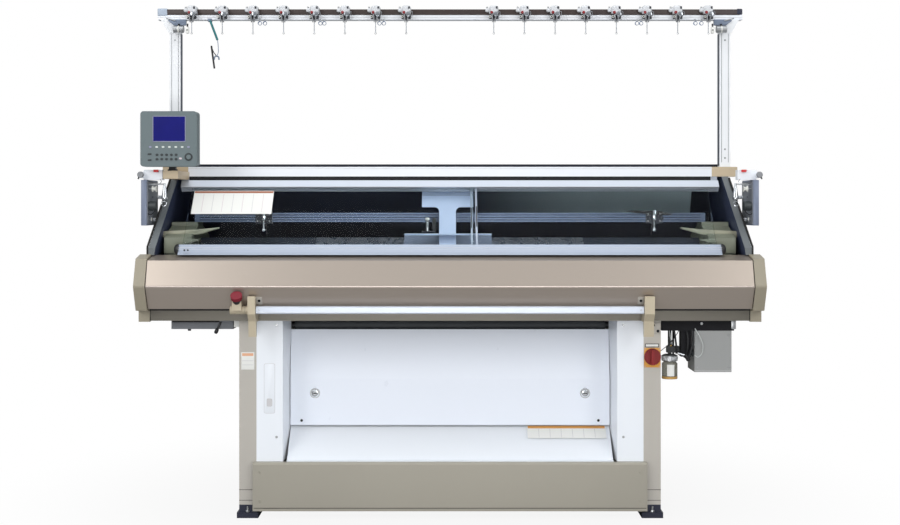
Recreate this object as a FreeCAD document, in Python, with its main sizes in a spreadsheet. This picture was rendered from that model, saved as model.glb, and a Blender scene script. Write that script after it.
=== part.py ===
# Flat knitting machine.
# Frame: X along the needle beds, to the operator's right; Y to the back; Z up.
# The origin is on the floor, in the middle of the machine.
# All lengths are in millimetres, angles in degrees.
import FreeCAD, Part
import math
import os
import Sketcher

doc = FreeCAD.newDocument("flat_knitting_machine")
sheet = doc.addObject("Spreadsheet::Sheet", "Sizes")


class Size:
    """A number that also knows the expression which gives it from the sheet."""

    def __init__(self, value, text):
        self.value = value
        self.text = text

    def joined(self, sign, other, value):
        return Size(value, "(%s %s %s)" % (self.text, sign, as_size(other).text))

    def __add__(self, other):
        return self.joined("+", other, self.value + as_size(other).value)

    def __sub__(self, other):
        return self.joined("-", other, self.value - as_size(other).value)

    def __mul__(self, other):
        return self.joined("*", other, self.value * as_size(other).value)

    def __truediv__(self, other):
        return self.joined("/", other, self.value / as_size(other).value)

    def __neg__(self):
        return Size(-self.value, "(0 - %s)" % self.text)

    def __radd__(self, other):
        return as_size(other) + self

    def __rsub__(self, other):
        return as_size(other) - self

    def __rmul__(self, other):
        return self * other


def as_size(number):
    if isinstance(number, Size):
        return number
    return Size(float(number), "(%r)" % float(number))


def size(alias, value):
    """A driving dimension: one cell of the sheet, with its alias."""
    size.row += 1
    cell = "A%d" % size.row
    sheet.set(cell, str(value))
    sheet.setAlias(cell, alias)
    return Size(float(value), "Sizes." + alias)


size.row = 0


def sine(angle):
    return Size(math.sin(math.radians(angle.value)), "sin(%s * 1 deg)" % angle.text)


def cosine(angle):
    return Size(math.cos(math.radians(angle.value)), "cos(%s * 1 deg)" % angle.text)


def hypotenuse(run, rise):
    length = math.hypot(run.value, rise.value)
    return Size(length, "sqrt(%s * %s + %s * %s)" % (run.text, run.text, rise.text, rise.text))


def bind(feature, prop, amount):
    """Sets a property, bound to the sheet where the amount comes from it."""
    if isinstance(amount, Size):
        feature.setExpression(prop, amount.text)
    elif amount:
        feature.setExpression(prop, "%r" % float(amount))


def place(feature, x=0, y=0, z=0):
    bind(feature, "Placement.Base.x", x)
    bind(feature, "Placement.Base.y", y)
    bind(feature, "Placement.Base.z", z)


# ---- ways of making a piece -------------------------------------------------


def draw_loop(sketch, corners, tag):
    """A closed outline of straight edges whose corners are bound to the sheet."""
    first = sketch.GeometryCount
    count = len(corners)
    numbers = [(as_size(u).value, as_size(v).value) for u, v in corners]
    for i in range(count):
        start = FreeCAD.Vector(*numbers[i], 0)
        end = FreeCAD.Vector(*numbers[(i + 1) % count], 0)
        sketch.addGeometry(Part.LineSegment(start, end), False)
    for i in range(count):
        following = first + (i + 1) % count
        sketch.addConstraint(Sketcher.Constraint("Coincident", first + i, 2, following, 1))
    for i, corner in enumerate(corners):
        for axis, amount, number in zip("XY", corner, numbers[i]):
            kind = "Distance" + axis
            rule = sketch.addConstraint(Sketcher.Constraint(kind, -1, 1, first + i, 1, number))
            name = "%s%d%s" % (tag, i, axis)
            sketch.renameConstraint(rule, name)
            if isinstance(amount, Size):
                sketch.setExpression("Constraints." + name, amount.text)


def prism(name, plane, corners, low, high, hole=None):
    """A body padded from an outline in the YZ, XZ or XY plane, between two places on the third axis."""
    body = doc.addObject("PartDesign::Body", name)
    sketch = body.newObject("Sketcher::SketchObject", name + "_outline")
    base = [f for f in body.Origin.OriginFeatures if f.Role == plane + "_Plane"][0]
    sketch.AttachmentSupport = [(base, "")]
    sketch.MapMode = "FlatFace"
    draw_loop(sketch, corners, "outer")
    if hole:
        draw_loop(sketch, hole, "inner")
    pad = body.newObject("PartDesign::Pad", name + "_pad")
    pad.Profile = sketch
    low, high = as_size(low), as_size(high)
    bind(pad, "Length", high - low)
    # A pad on the XZ plane grows towards -Y, so that body is placed at its far end.
    if plane == "YZ":
        place(body, x=low)
    elif plane == "XZ":
        place(body, y=high)
    else:
        place(body, z=low)
    return body


def round_corners(body, radius, spots):
    """Rounds the padded edges that run through the given outline corners."""
    doc.recompute()
    pad = body.Tip
    plane = body.Group[0].AttachmentSupport[0][0].Role
    wanted = [(as_size(u).value, as_size(v).value) for u, v in spots]
    names = []
    for i, edge in enumerate(pad.Shape.Edges):
        ends = [vertex.Point for vertex in edge.Vertexes]
        if plane == "YZ_Plane":
            flat = [(p.y, p.z) for p in ends]
        elif plane == "XZ_Plane":
            flat = [(p.x, p.z) for p in ends]
        else:
            flat = [(p.x, p.y) for p in ends]
        if len(flat) == 2 and math.dist(flat[0], flat[1]) < 0.001:
            if any(math.dist(flat[0], spot) < 0.01 for spot in wanted):
                names.append("Edge%d" % (i + 1))
    if len(names) != len(spots):
        raise ValueError("%s: %d edges for %d corners" % (body.Label, len(names), len(spots)))
    fillet = body.newObject("PartDesign::Fillet", body.Name + "_round")
    fillet.Base = (pad, names)
    bind(fillet, "Radius", radius)
    return body


def folded(points, wall):
    """The outline of bent sheet: each outer point is given with the way to its inner face."""
    outer = [(u, v) for u, v, _, _ in points]
    inner = [(u + wall * du, v + wall * dv) for u, v, du, dv in points]
    return outer + inner[::-1]


def block(name, x, y, z):
    box = doc.addObject("Part::Box", name)
    for prop, pair in (("Length", x), ("Width", y), ("Height", z)):
        bind(box, prop, as_size(pair[1]) - pair[0])
    place(box, x[0], y[0], z[0])
    return box


TURNS = {
    "X": FreeCAD.Rotation(FreeCAD.Vector(0, 1, 0), 90),
    "Y": FreeCAD.Rotation(FreeCAD.Vector(1, 0, 0), -90),
    "Z": FreeCAD.Rotation(),
}


def rod(name, axis, low, high, centre, radius, tip_radius=None):
    """A cylinder along X, Y or Z, or a cone where its far end has another radius."""
    shape = doc.addObject("Part::Cone" if tip_radius else "Part::Cylinder", name)
    if tip_radius:
        bind(shape, "Radius1", radius)
        bind(shape, "Radius2", tip_radius)
    else:
        bind(shape, "Radius", radius)
    bind(shape, "Height", as_size(high) - low)
    shape.Placement = FreeCAD.Placement(FreeCAD.Vector(), TURNS[axis])
    where = dict(zip([a for a in "xyz" if a != axis.lower()], centre))
    where[axis.lower()] = low
    place(shape, **where)
    return shape


def fuse(name, *pieces):
    whole = doc.addObject("Part::MultiFuse", name)
    whole.Shapes = list(pieces)
    return whole


def common(name, first, second):
    shared = doc.addObject("Part::MultiCommon", name)
    shared.Shapes = [first, second]
    return shared


def cut(name, base, *tools):
    result = doc.addObject("Part::Cut", name)
    result.Base = base
    result.Tool = tools[0] if len(tools) == 1 else fuse(name + "_tools", *tools)
    return result


def group(name, pieces):
    together = doc.addObject("Part::Compound", name)
    together.Links = list(pieces)
    return together


nodes = []


def node(piece, label=None):
    """Marks a piece as a sub-part of its own; its label names its file."""
    piece.Label = label or piece.Name
    nodes.append(piece)
    return piece


def sided(low, high, side):
    """A stretch of X given from the middle outwards, on the left (-1) or right (1)."""
    return (low, high) if side > 0 else (-high, -low)


SIDES = (("left", -1), ("right", 1))

# ---- driving dimensions -----------------------------------------------------
# Heights called a rise are above the underside of the beams; a drop is below it.

seat_gap = size("seat_gap", 0.3)
run_gap = size("run_gap", 0.1)
sheet_wall = size("sheet_wall", 2.5)

# stand
leg_inner_x = size("leg_inner_x", 845)
leg_width = size("leg_width", 75)
leg_depth = size("leg_depth", 560)
foot_height = size("foot_height", 57)
foot_pad_height = size("foot_pad_height", 25)
foot_pad_width = size("foot_pad_width", 93)
foot_length = size("foot_length", 110)
beam_bottom_z = size("beam_bottom_z", 862)
beam_front_y = size("beam_front_y", 308)
beam_face_height = size("beam_face_height", 88)
beam_shoulder = size("beam_shoulder", 98)
beam_shoulder_rise = size("beam_shoulder_rise", 176)
fabric_slot_half = size("fabric_slot_half", 25)
plinth_overlap = size("plinth_overlap", 12)
plinth_low_z = size("plinth_low_z", 35)
plinth_top_z = size("plinth_top_z", 245)
plinth_reach = size("plinth_reach", 30)
plinth_bevel = size("plinth_bevel", 8)
front_panel_width = size("front_panel_width", 115)
front_panel_bevel = size("front_panel_bevel", 16)
front_panel_back_y = size("front_panel_back_y", 104)
chute_y = size("chute_y", 140)
chute_lean = size("chute_lean", 32)
chute_top_drop = size("chute_top_drop", 56)
chute_bottom_height = size("chute_bottom_height", 136)
chute_flat_height = size("chute_flat_height", 207)
tray_back_y = size("tray_back_y", 60)
tray_height = size("tray_height", 180)
lock_inset = size("lock_inset", 110)
lock_height = size("lock_height", 148)
lock_radius = size("lock_radius", 18)

# needle beds
bed_angle = size("bed_angle", 40)
bed_gap_half = size("bed_gap_half", 6)
bed_rise = size("bed_rise", 353)
bed_length = size("bed_length", 200)
bed_thickness = size("bed_thickness", 30)

# covers
cover_half_x = size("cover_half_x", 1302)
cheek_width = size("cheek_width", 48)
cheek_proud = size("cheek_proud", 9)
ridge_reach = size("ridge_reach", 102)
ridge_rise = size("ridge_rise", 153)
cover_edge_reach = size("cover_edge_reach", 62)
cover_edge_rise = size("cover_edge_rise", 264)
cover_seam_reach = size("cover_seam_reach", 49)
cover_seam_rise = size("cover_seam_rise", 55)
cover_flange = size("cover_flange", 26)
cover_back_inset = size("cover_back_inset", 46)
cover_back_rise = size("cover_back_rise", 284)
ridge_radius = size("ridge_radius", 16)
cheek_radius = size("cheek_radius", 20)

# windows and top rail
window_tilt = size("window_tilt", 49)
window_foot_inset = size("window_foot_inset", 23)
window_foot_rise = size("window_foot_rise", 308)
window_height = size("window_height", 383)
pane_thickness = size("pane_thickness", 5)
lower_rail_inset = size("lower_rail_inset", 119)
upper_rail_inset = size("upper_rail_inset", 80)
pane_inset = size("pane_inset", 13)
left_pane_end_x = size("left_pane_end_x", 122)
right_pane_end_x = size("right_pane_end_x", 92)
top_rail_inset = size("top_rail_inset", 106)
top_rail_gap = size("top_rail_gap", 40)
top_rail_height = size("top_rail_height", 44)
top_rail_depth = size("top_rail_depth", 40)
cap_overhang = size("cap_overhang", 11)
cap_depth = size("cap_depth", 79)
side_overlap = size("side_overlap", 18)
side_lean = size("side_lean", 50)
side_knee_rise = size("side_knee_rise", 274)
side_wall = size("side_wall", 30)
side_front_inset = size("side_front_inset", 18)
side_proud = size("side_proud", 12)
rear_reach = size("rear_reach", 136)
rear_top_depth = size("rear_top_depth", 200)
rear_top_rise = size("rear_top_rise", 14)

# carriage and yarn rails
carriage_x = size("carriage_x", -9)
carriage_width = size("carriage_width", 394)
carriage_start = size("carriage_start", 30)
carriage_lift = size("carriage_lift", 3)
carriage_depth = size("carriage_depth", 45)
carriage_flat_drop = size("carriage_flat_drop", 27)
carriage_flat = size("carriage_flat", 95)
bow_x = size("bow_x", -11)
bow_stem_width = size("bow_stem_width", 75)
bow_head_width = size("bow_head_width", 233)
bow_head_rise = size("bow_head_rise", 67)
bow_head_height = size("bow_head_height", 71)
bow_fillet = size("bow_fillet", 22)
bow_plate = size("bow_plate", 18)
bow_setback = size("bow_setback", 48)
bow_arm_depth = size("bow_arm_depth", 28)
bow_leg_thickness = size("bow_leg_thickness", 25)
yarn_rail_rise = size("yarn_rail_rise", 72)
yarn_rail_height = size("yarn_rail_height", 41)
yarn_rail_thickness = size("yarn_rail_thickness", 10)
yarn_rail_y = size("yarn_rail_y", 25)
yarn_rail_seat = size("yarn_rail_seat", 21)
casting_inset = size("casting_inset", 40)
casting_width = size("casting_width", 120)
casting_horn_y = size("casting_horn_y", 60)
left_carrier_x = size("left_carrier_x", -848)
right_carrier_x = size("right_carrier_x", 930)
carrier_width = size("carrier_width", 76)
carrier_wall = size("carrier_wall", 8)

# drive and take-down
pulley_drop = size("pulley_drop", 95)
pulley_radius = size("pulley_radius", 42)
belt_gap = size("belt_gap", 6)
belt_width = size("belt_width", 14)
belt_thickness = size("belt_thickness", 4)
motor_half = size("motor_half", 45)
motor_length = size("motor_length", 95)
motor_foot_rise = size("motor_foot_rise", 7)
roller_radius = size("roller_radius", 25)
roller_end_gap = size("roller_end_gap", 141)
roller_drop = size("roller_drop", 46)
axle_radius = size("axle_radius", 10)

# control panel
panel_inset = size("panel_inset", 78)
panel_width = size("panel_width", 246)
panel_height = size("panel_height", 241)
panel_depth = size("panel_depth", 68)
panel_rise = size("panel_rise", 17)
panel_radius = size("panel_radius", 14)
swivel_y = size("swivel_y", 214)
swivel_radius = size("swivel_radius", 22)
tilt_rise = size("tilt_rise", 45)
tilt_pin_radius = size("tilt_pin_radius", 4)
tilt_barrel_radius = size("tilt_barrel_radius", 12)
arm_drop = size("arm_drop", 15)
arm_height = size("arm_height", 35)
arm_half_width = size("arm_half_width", 33)

# start bar, stop button, main switch
bar_end_gap = size("bar_end_gap", 16)
bar_reach = size("bar_reach", 30)
bar_rise = size("bar_rise", 53)
bar_height = size("bar_height", 33)
bar_depth = size("bar_depth", 24)
bar_radius = size("bar_radius", 5)
bar_pin_radius = size("bar_pin_radius", 6)
barrel_radius = size("barrel_radius", 18)
barrel_length = size("barrel_length", 80)
stop_offset = size("stop_offset", 80)
stop_reach = size("stop_reach", 68)
stop_rise = size("stop_rise", 91)
stop_radius = size("stop_radius", 25)
stop_stem_radius = size("stop_stem_radius", 11)
stop_tilt = size("stop_tilt", 40)
switch_radius = size("switch_radius", 36)
switch_drop = size("switch_drop", 159)

# below the bed
hanger_inset = size("hanger_inset", 38)
hanger_depth = size("hanger_depth", 110)
hanger_height = size("hanger_height", 47)
hanger_end_inset = size("hanger_end_inset", 60)
box_width = size("box_width", 162)
box_height = size("box_height", 181)
box_depth = size("box_depth", 160)
bottle_offset = size("bottle_offset", 47)
bottle_radius = size("bottle_radius", 34)
bottle_drop = size("bottle_drop", 135)
bottle_height = size("bottle_height", 79)
tray_box_width = size("tray_box_width", 270)
tray_box_height = size("tray_box_height", 40)

# side tension units
side_plate_offset = size("side_plate_offset", 50)
side_plate_height = size("side_plate_height", 200)
side_plate_depth = size("side_plate_depth", 200)
side_plate_flange = size("side_plate_flange", 24)
side_arm_reach = size("side_arm_reach", 59)

# yarn stand
post_inset = size("post_inset", 42)
post_width = size("post_width", 50)
post_depth = size("post_depth", 45)
post_height = size("post_height", 675)
channel_height = size("channel_height", 21)
yarn_bar_height = size("yarn_bar_height", 26)
yarn_bar_overhang = size("yarn_bar_overhang", 80)
unit_pitch = size("unit_pitch", 140)
unit_first_x = size("unit_first_x", 200)
unit_width = size("unit_width", 44)
unit_reach = size("unit_reach", 30)

# ---- places worked out from them --------------------------------------------

leg_outer_x = leg_inner_x + leg_width
leg_front_y = leg_depth / 2
panel_top_z = beam_bottom_z - 2
plinth_half_x = leg_inner_x + plinth_overlap
panel_front_x = leg_inner_x - front_panel_width
panel_back_x = panel_front_x - front_panel_bevel
chute_bottom_z = plinth_top_z + chute_bottom_height
chute_bend_z = chute_bottom_z + chute_flat_height
chute_top_z = beam_bottom_z - chute_top_drop
chute_top_y = chute_y - chute_lean
tray_back_z = plinth_top_z + tray_height
lock_x = panel_back_x - lock_inset
lock_z = chute_bottom_z + lock_height

bed_top_z = beam_bottom_z + bed_rise
beam_shoulder_z = beam_bottom_z + beam_shoulder_rise
casting_y = beam_front_y - beam_shoulder
side_foot_x = cover_half_x + side_overlap
side_knee_z = beam_bottom_z + side_knee_rise
side_front_y = beam_front_y - side_front_inset
beam_half_x = side_foot_x - side_wall - 4
ridge_y = beam_front_y + ridge_reach
ridge_z = beam_bottom_z + ridge_rise
cover_edge_y = beam_front_y + cover_edge_reach
cover_edge_z = beam_bottom_z + cover_edge_rise
cover_seam_y = beam_front_y + cover_seam_reach
cover_seam_z = beam_bottom_z + cover_seam_rise
cover_back_y = beam_front_y - cover_back_inset
cover_back_z = beam_bottom_z + cover_back_rise
window_foot_y = beam_front_y - window_foot_inset
window_foot_z = beam_bottom_z + window_foot_rise
lower_rail_half_x = cover_half_x - lower_rail_inset
upper_rail_half_x = cover_half_x - upper_rail_inset
pane_half_x = lower_rail_half_x - pane_inset
top_rail_half_x = cover_half_x - top_rail_inset
cap_end_x = cover_half_x + cap_overhang
rear_y = beam_front_y + rear_reach

casting_outer_x = cover_half_x - casting_inset
casting_inner_x = casting_outer_x - casting_width
bed_half_x = casting_inner_x - 4
yarn_rail_half_x = casting_inner_x + yarn_rail_seat
yarn_rail_low_z = bed_top_z + yarn_rail_rise
yarn_rail_top_z = yarn_rail_low_z + yarn_rail_height
carriage_top_z = bed_top_z - carriage_flat_drop
bow_head_low_z = yarn_rail_low_z + bow_head_rise
bow_head_top_z = bow_head_low_z + bow_head_height
pulley_x = (casting_inner_x + casting_outer_x) / 2 - 2
pulley_z = bed_top_z - pulley_drop
belt_y = casting_y + belt_gap
roller_half_x = leg_inner_x - roller_end_gap
roller_z = beam_bottom_z - roller_drop

bar_half_x = leg_inner_x - bar_end_gap
bar_y = cover_seam_y + bar_reach
bar_z = beam_bottom_z + bar_rise
stop_x = -bar_half_x - stop_offset
stop_y = cover_seam_y + stop_reach
stop_z = beam_bottom_z + stop_rise
switch_z = beam_bottom_z - switch_drop
hanger_y = beam_front_y - hanger_inset
hanger_low_z = beam_bottom_z - hanger_height
bottle_x = leg_outer_x + bottle_offset
bottle_top_z = hanger_low_z - bottle_drop
bottle_low_z = bottle_top_z - bottle_height
side_plate_x = cover_half_x + side_plate_offset
side_plate_y = window_foot_y - 35
side_arm_y = side_plate_y - 35
post_x = cover_half_x - post_inset

# ---- planes that several pieces follow --------------------------------------


def on_bed(side, along, out):
    """A point of a needle bed's section: along its slope from the top, and out of its face."""
    y = bed_gap_half + along * cosine(bed_angle) + out * sine(bed_angle)
    z = bed_top_z - along * sine(bed_angle) + out * cosine(bed_angle)
    return (y * side, z)


def on_window(along, out):
    """A point of the window's section: up its slope from the foot, and out towards the operator."""
    y = along * cosine(window_tilt) - out * sine(window_tilt) - window_foot_y
    z = along * sine(window_tilt) + out * cosine(window_tilt) + window_foot_z
    return (y, z)


def window_y(z, out):
    """Where the plane that lies out from the window reaches height z."""
    along = (z - window_foot_z - out * cosine(window_tilt)) / sine(window_tilt)
    return on_window(along, out)[0]


hood_back = on_window(window_height + 17, -26)
top_rail_low_z = hood_back[1] + top_rail_gap
top_rail_top_z = top_rail_low_z + top_rail_height
side_front_z = window_foot_z + 8
top_rail_y = hood_back[0] - 12
rear_lip_y = top_rail_y + cap_depth - 2
rear_top_y = rear_lip_y + rear_top_depth
rear_top_z = top_rail_top_z + rear_top_rise
side_plate_top_z = top_rail_low_z - 20
side_plate_low_z = side_plate_top_z - side_plate_height
side_arm_z = side_plate_top_z - 114
post_front_y = top_rail_y + 17
channel_low_z = top_rail_top_z + post_height
arm_low_z = top_rail_low_z - arm_drop
arm_top_z = arm_low_z + arm_height


def rear_slope_y(z):
    """The outer face of the sloping rear cover at height z."""
    return rear_top_y + (rear_top_z - z) * (rear_y - rear_top_y) / (rear_top_z - side_knee_z)


def side_outer_x(z):
    """The outer face of the leaning side cover at height z, above its knee."""
    return side_foot_x - (z - side_knee_z) * side_lean / (top_rail_low_z - side_knee_z)


# ---- stand -------------------------------------------------------------------

for label, side in SIDES:
    leg = block(
        label + "_leg_box",
        sided(leg_inner_x, leg_outer_x, side),
        (-leg_front_y, leg_front_y),
        (foot_height, beam_bottom_z),
    )
    bores = []
    for row, place_y in (("front", -roller_radius - seat_gap), ("rear", roller_radius + seat_gap)):
        reach = sided(leg_inner_x - 1, leg_inner_x + 20, side)
        centre = (place_y, roller_z)
        name = "%s_%s_bore" % (label, row)
        bores.append(rod(name, "X", reach[0], reach[1], centre, axle_radius + run_gap))
    node(cut(label + "_leg", leg, *bores))

feet = []
pad_lip = (foot_pad_width - leg_width) / 2
for label, side in SIDES:
    for row, front in (("front", -1), ("rear", 1)):
        near = leg_front_y - foot_length
        y = (-leg_front_y, -near) if front < 0 else (near, leg_front_y)
        x = sided(leg_inner_x, leg_outer_x, side)
        stem_z = (foot_pad_height, foot_height)
        stem = block("%s_%s_foot_stem" % (label, row), x, y, stem_z)
        wide_x = (x[0] - pad_lip, x[1] + pad_lip)
        wide_y = (y[0] - pad_lip, y[1] + pad_lip)
        pad = block("%s_%s_foot_pad" % (label, row), wide_x, wide_y, (as_size(0), foot_pad_height))
        feet.append(fuse("%s_%s_foot" % (label, row), stem, pad))
node(group("levelling_feet", feet))

plinth_front = -leg_front_y - plinth_reach
plinth_section = folded(
    [
        (-leg_front_y, plinth_low_z, 0, 1),
        (plinth_front, plinth_low_z, 1, 1),
        (plinth_front, plinth_top_z - plinth_bevel, 1, -0.4),
        (plinth_front + plinth_bevel, plinth_top_z, 0.4, -1),
        (-leg_front_y, plinth_top_z, 0, -1),
    ],
    sheet_wall,
)
node(prism("plinth", "YZ", plinth_section, -plinth_half_x, plinth_half_x))

for label, side in (("front_beam", -1), ("rear_beam", 1)):
    under_bed = on_bed(side, bed_length, -bed_thickness)
    drop = (fabric_slot_half - bed_gap_half) * sine(bed_angle) / cosine(bed_angle)
    slot_top = bed_top_z - drop - bed_thickness / cosine(bed_angle)
    section = [
        (fabric_slot_half * side, beam_bottom_z),
        (beam_front_y * side, beam_bottom_z),
        (beam_front_y * side, beam_bottom_z + beam_face_height),
        (casting_y * side, beam_shoulder_z),
        under_bed,
        (fabric_slot_half * side, slot_top),
    ]
    node(prism(label, "YZ", section, -beam_half_x, beam_half_x))

front_panels = []
for label, side in SIDES:
    outline = folded(
        [
            (leg_inner_x * side, -leg_front_y + 1, 0, 1),
            (panel_front_x * side, -leg_front_y + 1, side, 1),
            (panel_back_x * side, -front_panel_back_y, side, 0),
        ],
        sheet_wall,
    )
    front_panels.append(prism(label + "_front_panel", "XY", outline, plinth_top_z + seat_gap, panel_top_z))
node(group("front_panels", front_panels))

chute_section = folded(
    [
        (-chute_top_y, chute_top_z, 1, 0),
        (-chute_y, chute_bend_z, 1, 0),
        (-chute_y, chute_bottom_z, 1, 0),
    ],
    sheet_wall,
)
chute_half_x = panel_back_x - seat_gap
chute = prism("chute_sheet", "YZ", chute_section, -chute_half_x, chute_half_x)
lock_holes = []
for label, side in SIDES:
    centre = (lock_x * side, lock_z)
    hole = rod(label + "_lock_hole", "Y", -chute_y - 10, -chute_y + 20, centre, lock_radius / 2 + run_gap)
    lock_holes.append(hole)
node(cut("chute_panel", chute, *lock_holes))
for label, side in SIDES:
    centre = (lock_x * side, lock_z)
    face = -chute_y - seat_gap
    head = rod(label + "_lock_head", "Y", face - 6, face, centre, lock_radius)
    shank = rod(label + "_lock_shank", "Y", face, -chute_y + 14, centre, lock_radius / 2)
    cam_x = (lock_x * side - 8, lock_x * side + 8)
    cam = block(label + "_lock_cam", cam_x, (-chute_y + 10, -chute_y + 14), (lock_z - 30, lock_z + 8))
    node(fuse(label + "_panel_lock", head, shank, cam))

tray_front_z = plinth_top_z + seat_gap
tray_section = folded(
    [
        (-leg_front_y - 4, tray_front_z + 2.5, 0, -1),
        (-leg_front_y + 16, tray_front_z + 4.5, 0, -1),
        (-tray_back_y, tray_back_z, 0, -1.2),
    ],
    sheet_wall,
)
node(prism("fabric_tray", "YZ", tray_section, -chute_half_x, chute_half_x))

rear_face = leg_front_y - 6
rear_x = (-leg_inner_x, leg_inner_x)
node(block("rear_panel", rear_x, (rear_face, rear_face + 4), (foot_height, beam_bottom_z)))

# ---- covers --------------------------------------------------------------------

cover_section = folded(
    [
        (-cover_back_y, cover_back_z, 0, -1),
        (-cover_edge_y, cover_edge_z, 0.8, -1),
        (-ridge_y, ridge_z, 1, 0),
        (-cover_seam_y, cover_seam_z, 0.8, 1),
        (-cover_seam_y + cover_flange, cover_seam_z, 0, 1),
    ],
    sheet_wall,
)
cover = prism("front_cover", "YZ", cover_section, -cover_half_x, cover_half_x)
ridge_spots = [(-ridge_y, ridge_z)]
round_corners(cover, ridge_radius, ridge_spots)
inner_spots = [(-ridge_y + sheet_wall, ridge_z)]
round_corners(cover, ridge_radius - sheet_wall, inner_spots)
node(cover)

skirt_section = [
    (-cover_seam_y + cover_flange, cover_seam_z),
    (-beam_front_y, cover_seam_z),
    (-beam_front_y, beam_bottom_z),
    (-beam_front_y - sheet_wall, beam_bottom_z),
    (-beam_front_y - sheet_wall, cover_seam_z - sheet_wall),
    (-cover_seam_y + cover_flange, cover_seam_z - sheet_wall),
]
node(prism("front_skirt", "YZ", skirt_section, -cover_half_x, cover_half_x))

cheeks = []
for label, side in SIDES:
    outline = [
        (-side_front_y, cover_back_z + 4),
        (-cover_edge_y - 3, cover_edge_z + 8),
        (-ridge_y - cheek_proud, ridge_z + 2),
        (-cover_seam_y - 14, cover_seam_z - 6),
        (-beam_front_y - 10, cover_seam_z - 12),
        (-beam_front_y - 10, beam_bottom_z - 4),
        (-side_front_y, beam_bottom_z - 4),
    ]
    x = sided(cover_half_x, cover_half_x + cheek_width, side)
    cheek = prism(label + "_cheek", "YZ", outline, x[0], x[1])
    cheeks.append(round_corners(cheek, cheek_radius, [outline[2]]))
node(group("cheeks", cheeks))

# The lower rail stands on the cover's top sheet; two grooves take the panes' lower edges.
front_lip = on_window(22, 8)
lower_rail = [
    (on_window(-30, 8)[0], cover_edge_z + 22),
    front_lip,
    on_window(22, -1),
    on_window(10, -1),
    on_window(10, -8),
    on_window(22, -8),
    on_window(22, -11),
    on_window(10, -11),
    on_window(10, -18),
    on_window(22, -18),
    on_window(22, -26),
    (-cover_back_y + 2, on_window(0, -26)[1]),
    (-cover_back_y + 2, cover_back_z + seat_gap),
    (-cover_back_y - 30, cover_back_z + seat_gap),
]
node(prism("lower_window_rail", "YZ", lower_rail, -lower_rail_half_x, lower_rail_half_x))

rail_start = window_height - 22
groove_end = rail_start + 12
upper_rail = [
    on_window(rail_start, 8),
    on_window(window_height + 17, 8),
    on_window(window_height + 17, -14),
    (hood_back[0] - 2, on_window(window_height + 17, -20)[1]),
    (hood_back[0] - 2, top_rail_low_z),
    (hood_back[0] + 6, top_rail_low_z),
    (hood_back[0] + 6, hood_back[1] - 2),
    on_window(window_height + 5, -26),
    on_window(rail_start, -26),
    on_window(rail_start, -18),
    on_window(groove_end, -18),
    on_window(groove_end, -11),
    on_window(rail_start, -11),
    on_window(rail_start, -8),
    on_window(groove_end, -8),
    on_window(groove_end, -1),
    on_window(rail_start, -1),
]
node(prism("upper_window_rail", "YZ", upper_rail, -upper_rail_half_x, upper_rail_half_x))

pane_low = 10 + seat_gap
pane_top = groove_end - 1
left_out = as_size(-2)
right_out = as_size(-12)
left_pane = [
    on_window(pane_low, left_out),
    on_window(pane_top, left_out),
    on_window(pane_top, left_out - pane_thickness),
    on_window(pane_low, left_out - pane_thickness),
]
right_pane = [
    on_window(pane_low, right_out),
    on_window(pane_top, right_out),
    on_window(pane_top, right_out - pane_thickness),
    on_window(pane_low, right_out - pane_thickness),
]
node(prism("left_window", "YZ", left_pane, -pane_half_x, left_pane_end_x))
node(prism("right_window", "YZ", right_pane, right_pane_end_x, pane_half_x))

rail_y_range = (top_rail_y, top_rail_y + top_rail_depth)
rail_z_range = (top_rail_low_z, top_rail_top_z)
node(block("top_rail", (-top_rail_half_x, top_rail_half_x), rail_y_range, rail_z_range))
caps = []
for label, side in SIDES:
    x = sided(top_rail_half_x, cap_end_x, side)
    cap_y = (top_rail_y, top_rail_y + cap_depth)
    caps.append(block(label + "_rail_cap", x, cap_y, rail_z_range))
node(group("rail_caps", caps))

for label, side in SIDES:
    lean = [
        ((side_foot_x - side_wall) * side, beam_bottom_z),
        (side_foot_x * side, beam_bottom_z),
        (side_foot_x * side, side_knee_z),
        ((side_foot_x - side_lean) * side, top_rail_low_z),
        ((side_foot_x - side_lean - side_wall) * side, top_rail_low_z),
        ((side_foot_x - side_wall) * side, side_knee_z),
    ]
    slope_run = rear_y - rear_top_y
    slope_rise = rear_top_z - side_knee_z
    rear_inside = (sheet_wall + seat_gap) * hypotenuse(slope_run, slope_rise) / slope_rise
    profile = [
        (-side_front_y, beam_bottom_z),
        (-side_front_y, cover_back_z - 12),
        (-cover_back_y + seat_gap, cover_back_z - 12),
        (-cover_back_y + seat_gap, cover_back_z + seat_gap),
        (-side_front_y, cover_back_z + seat_gap),
        (-side_front_y, side_front_z),
        (window_y(top_rail_low_z, side_proud), top_rail_low_z),
        (rear_slope_y(top_rail_low_z) - rear_inside, top_rail_low_z),
        (rear_y - rear_inside, side_knee_z),
        (rear_y - rear_inside, beam_bottom_z),
    ]
    slab = prism(label + "_side_slab", "XZ", lean, -side_front_y - 20, rear_y)
    x = sided(side_foot_x - side_lean - side_wall - 40, side_foot_x + 40, side)
    shape = prism(label + "_side_profile", "YZ", profile, x[0], x[1])
    node(common(label + "_side_cover", slab, shape))

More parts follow.
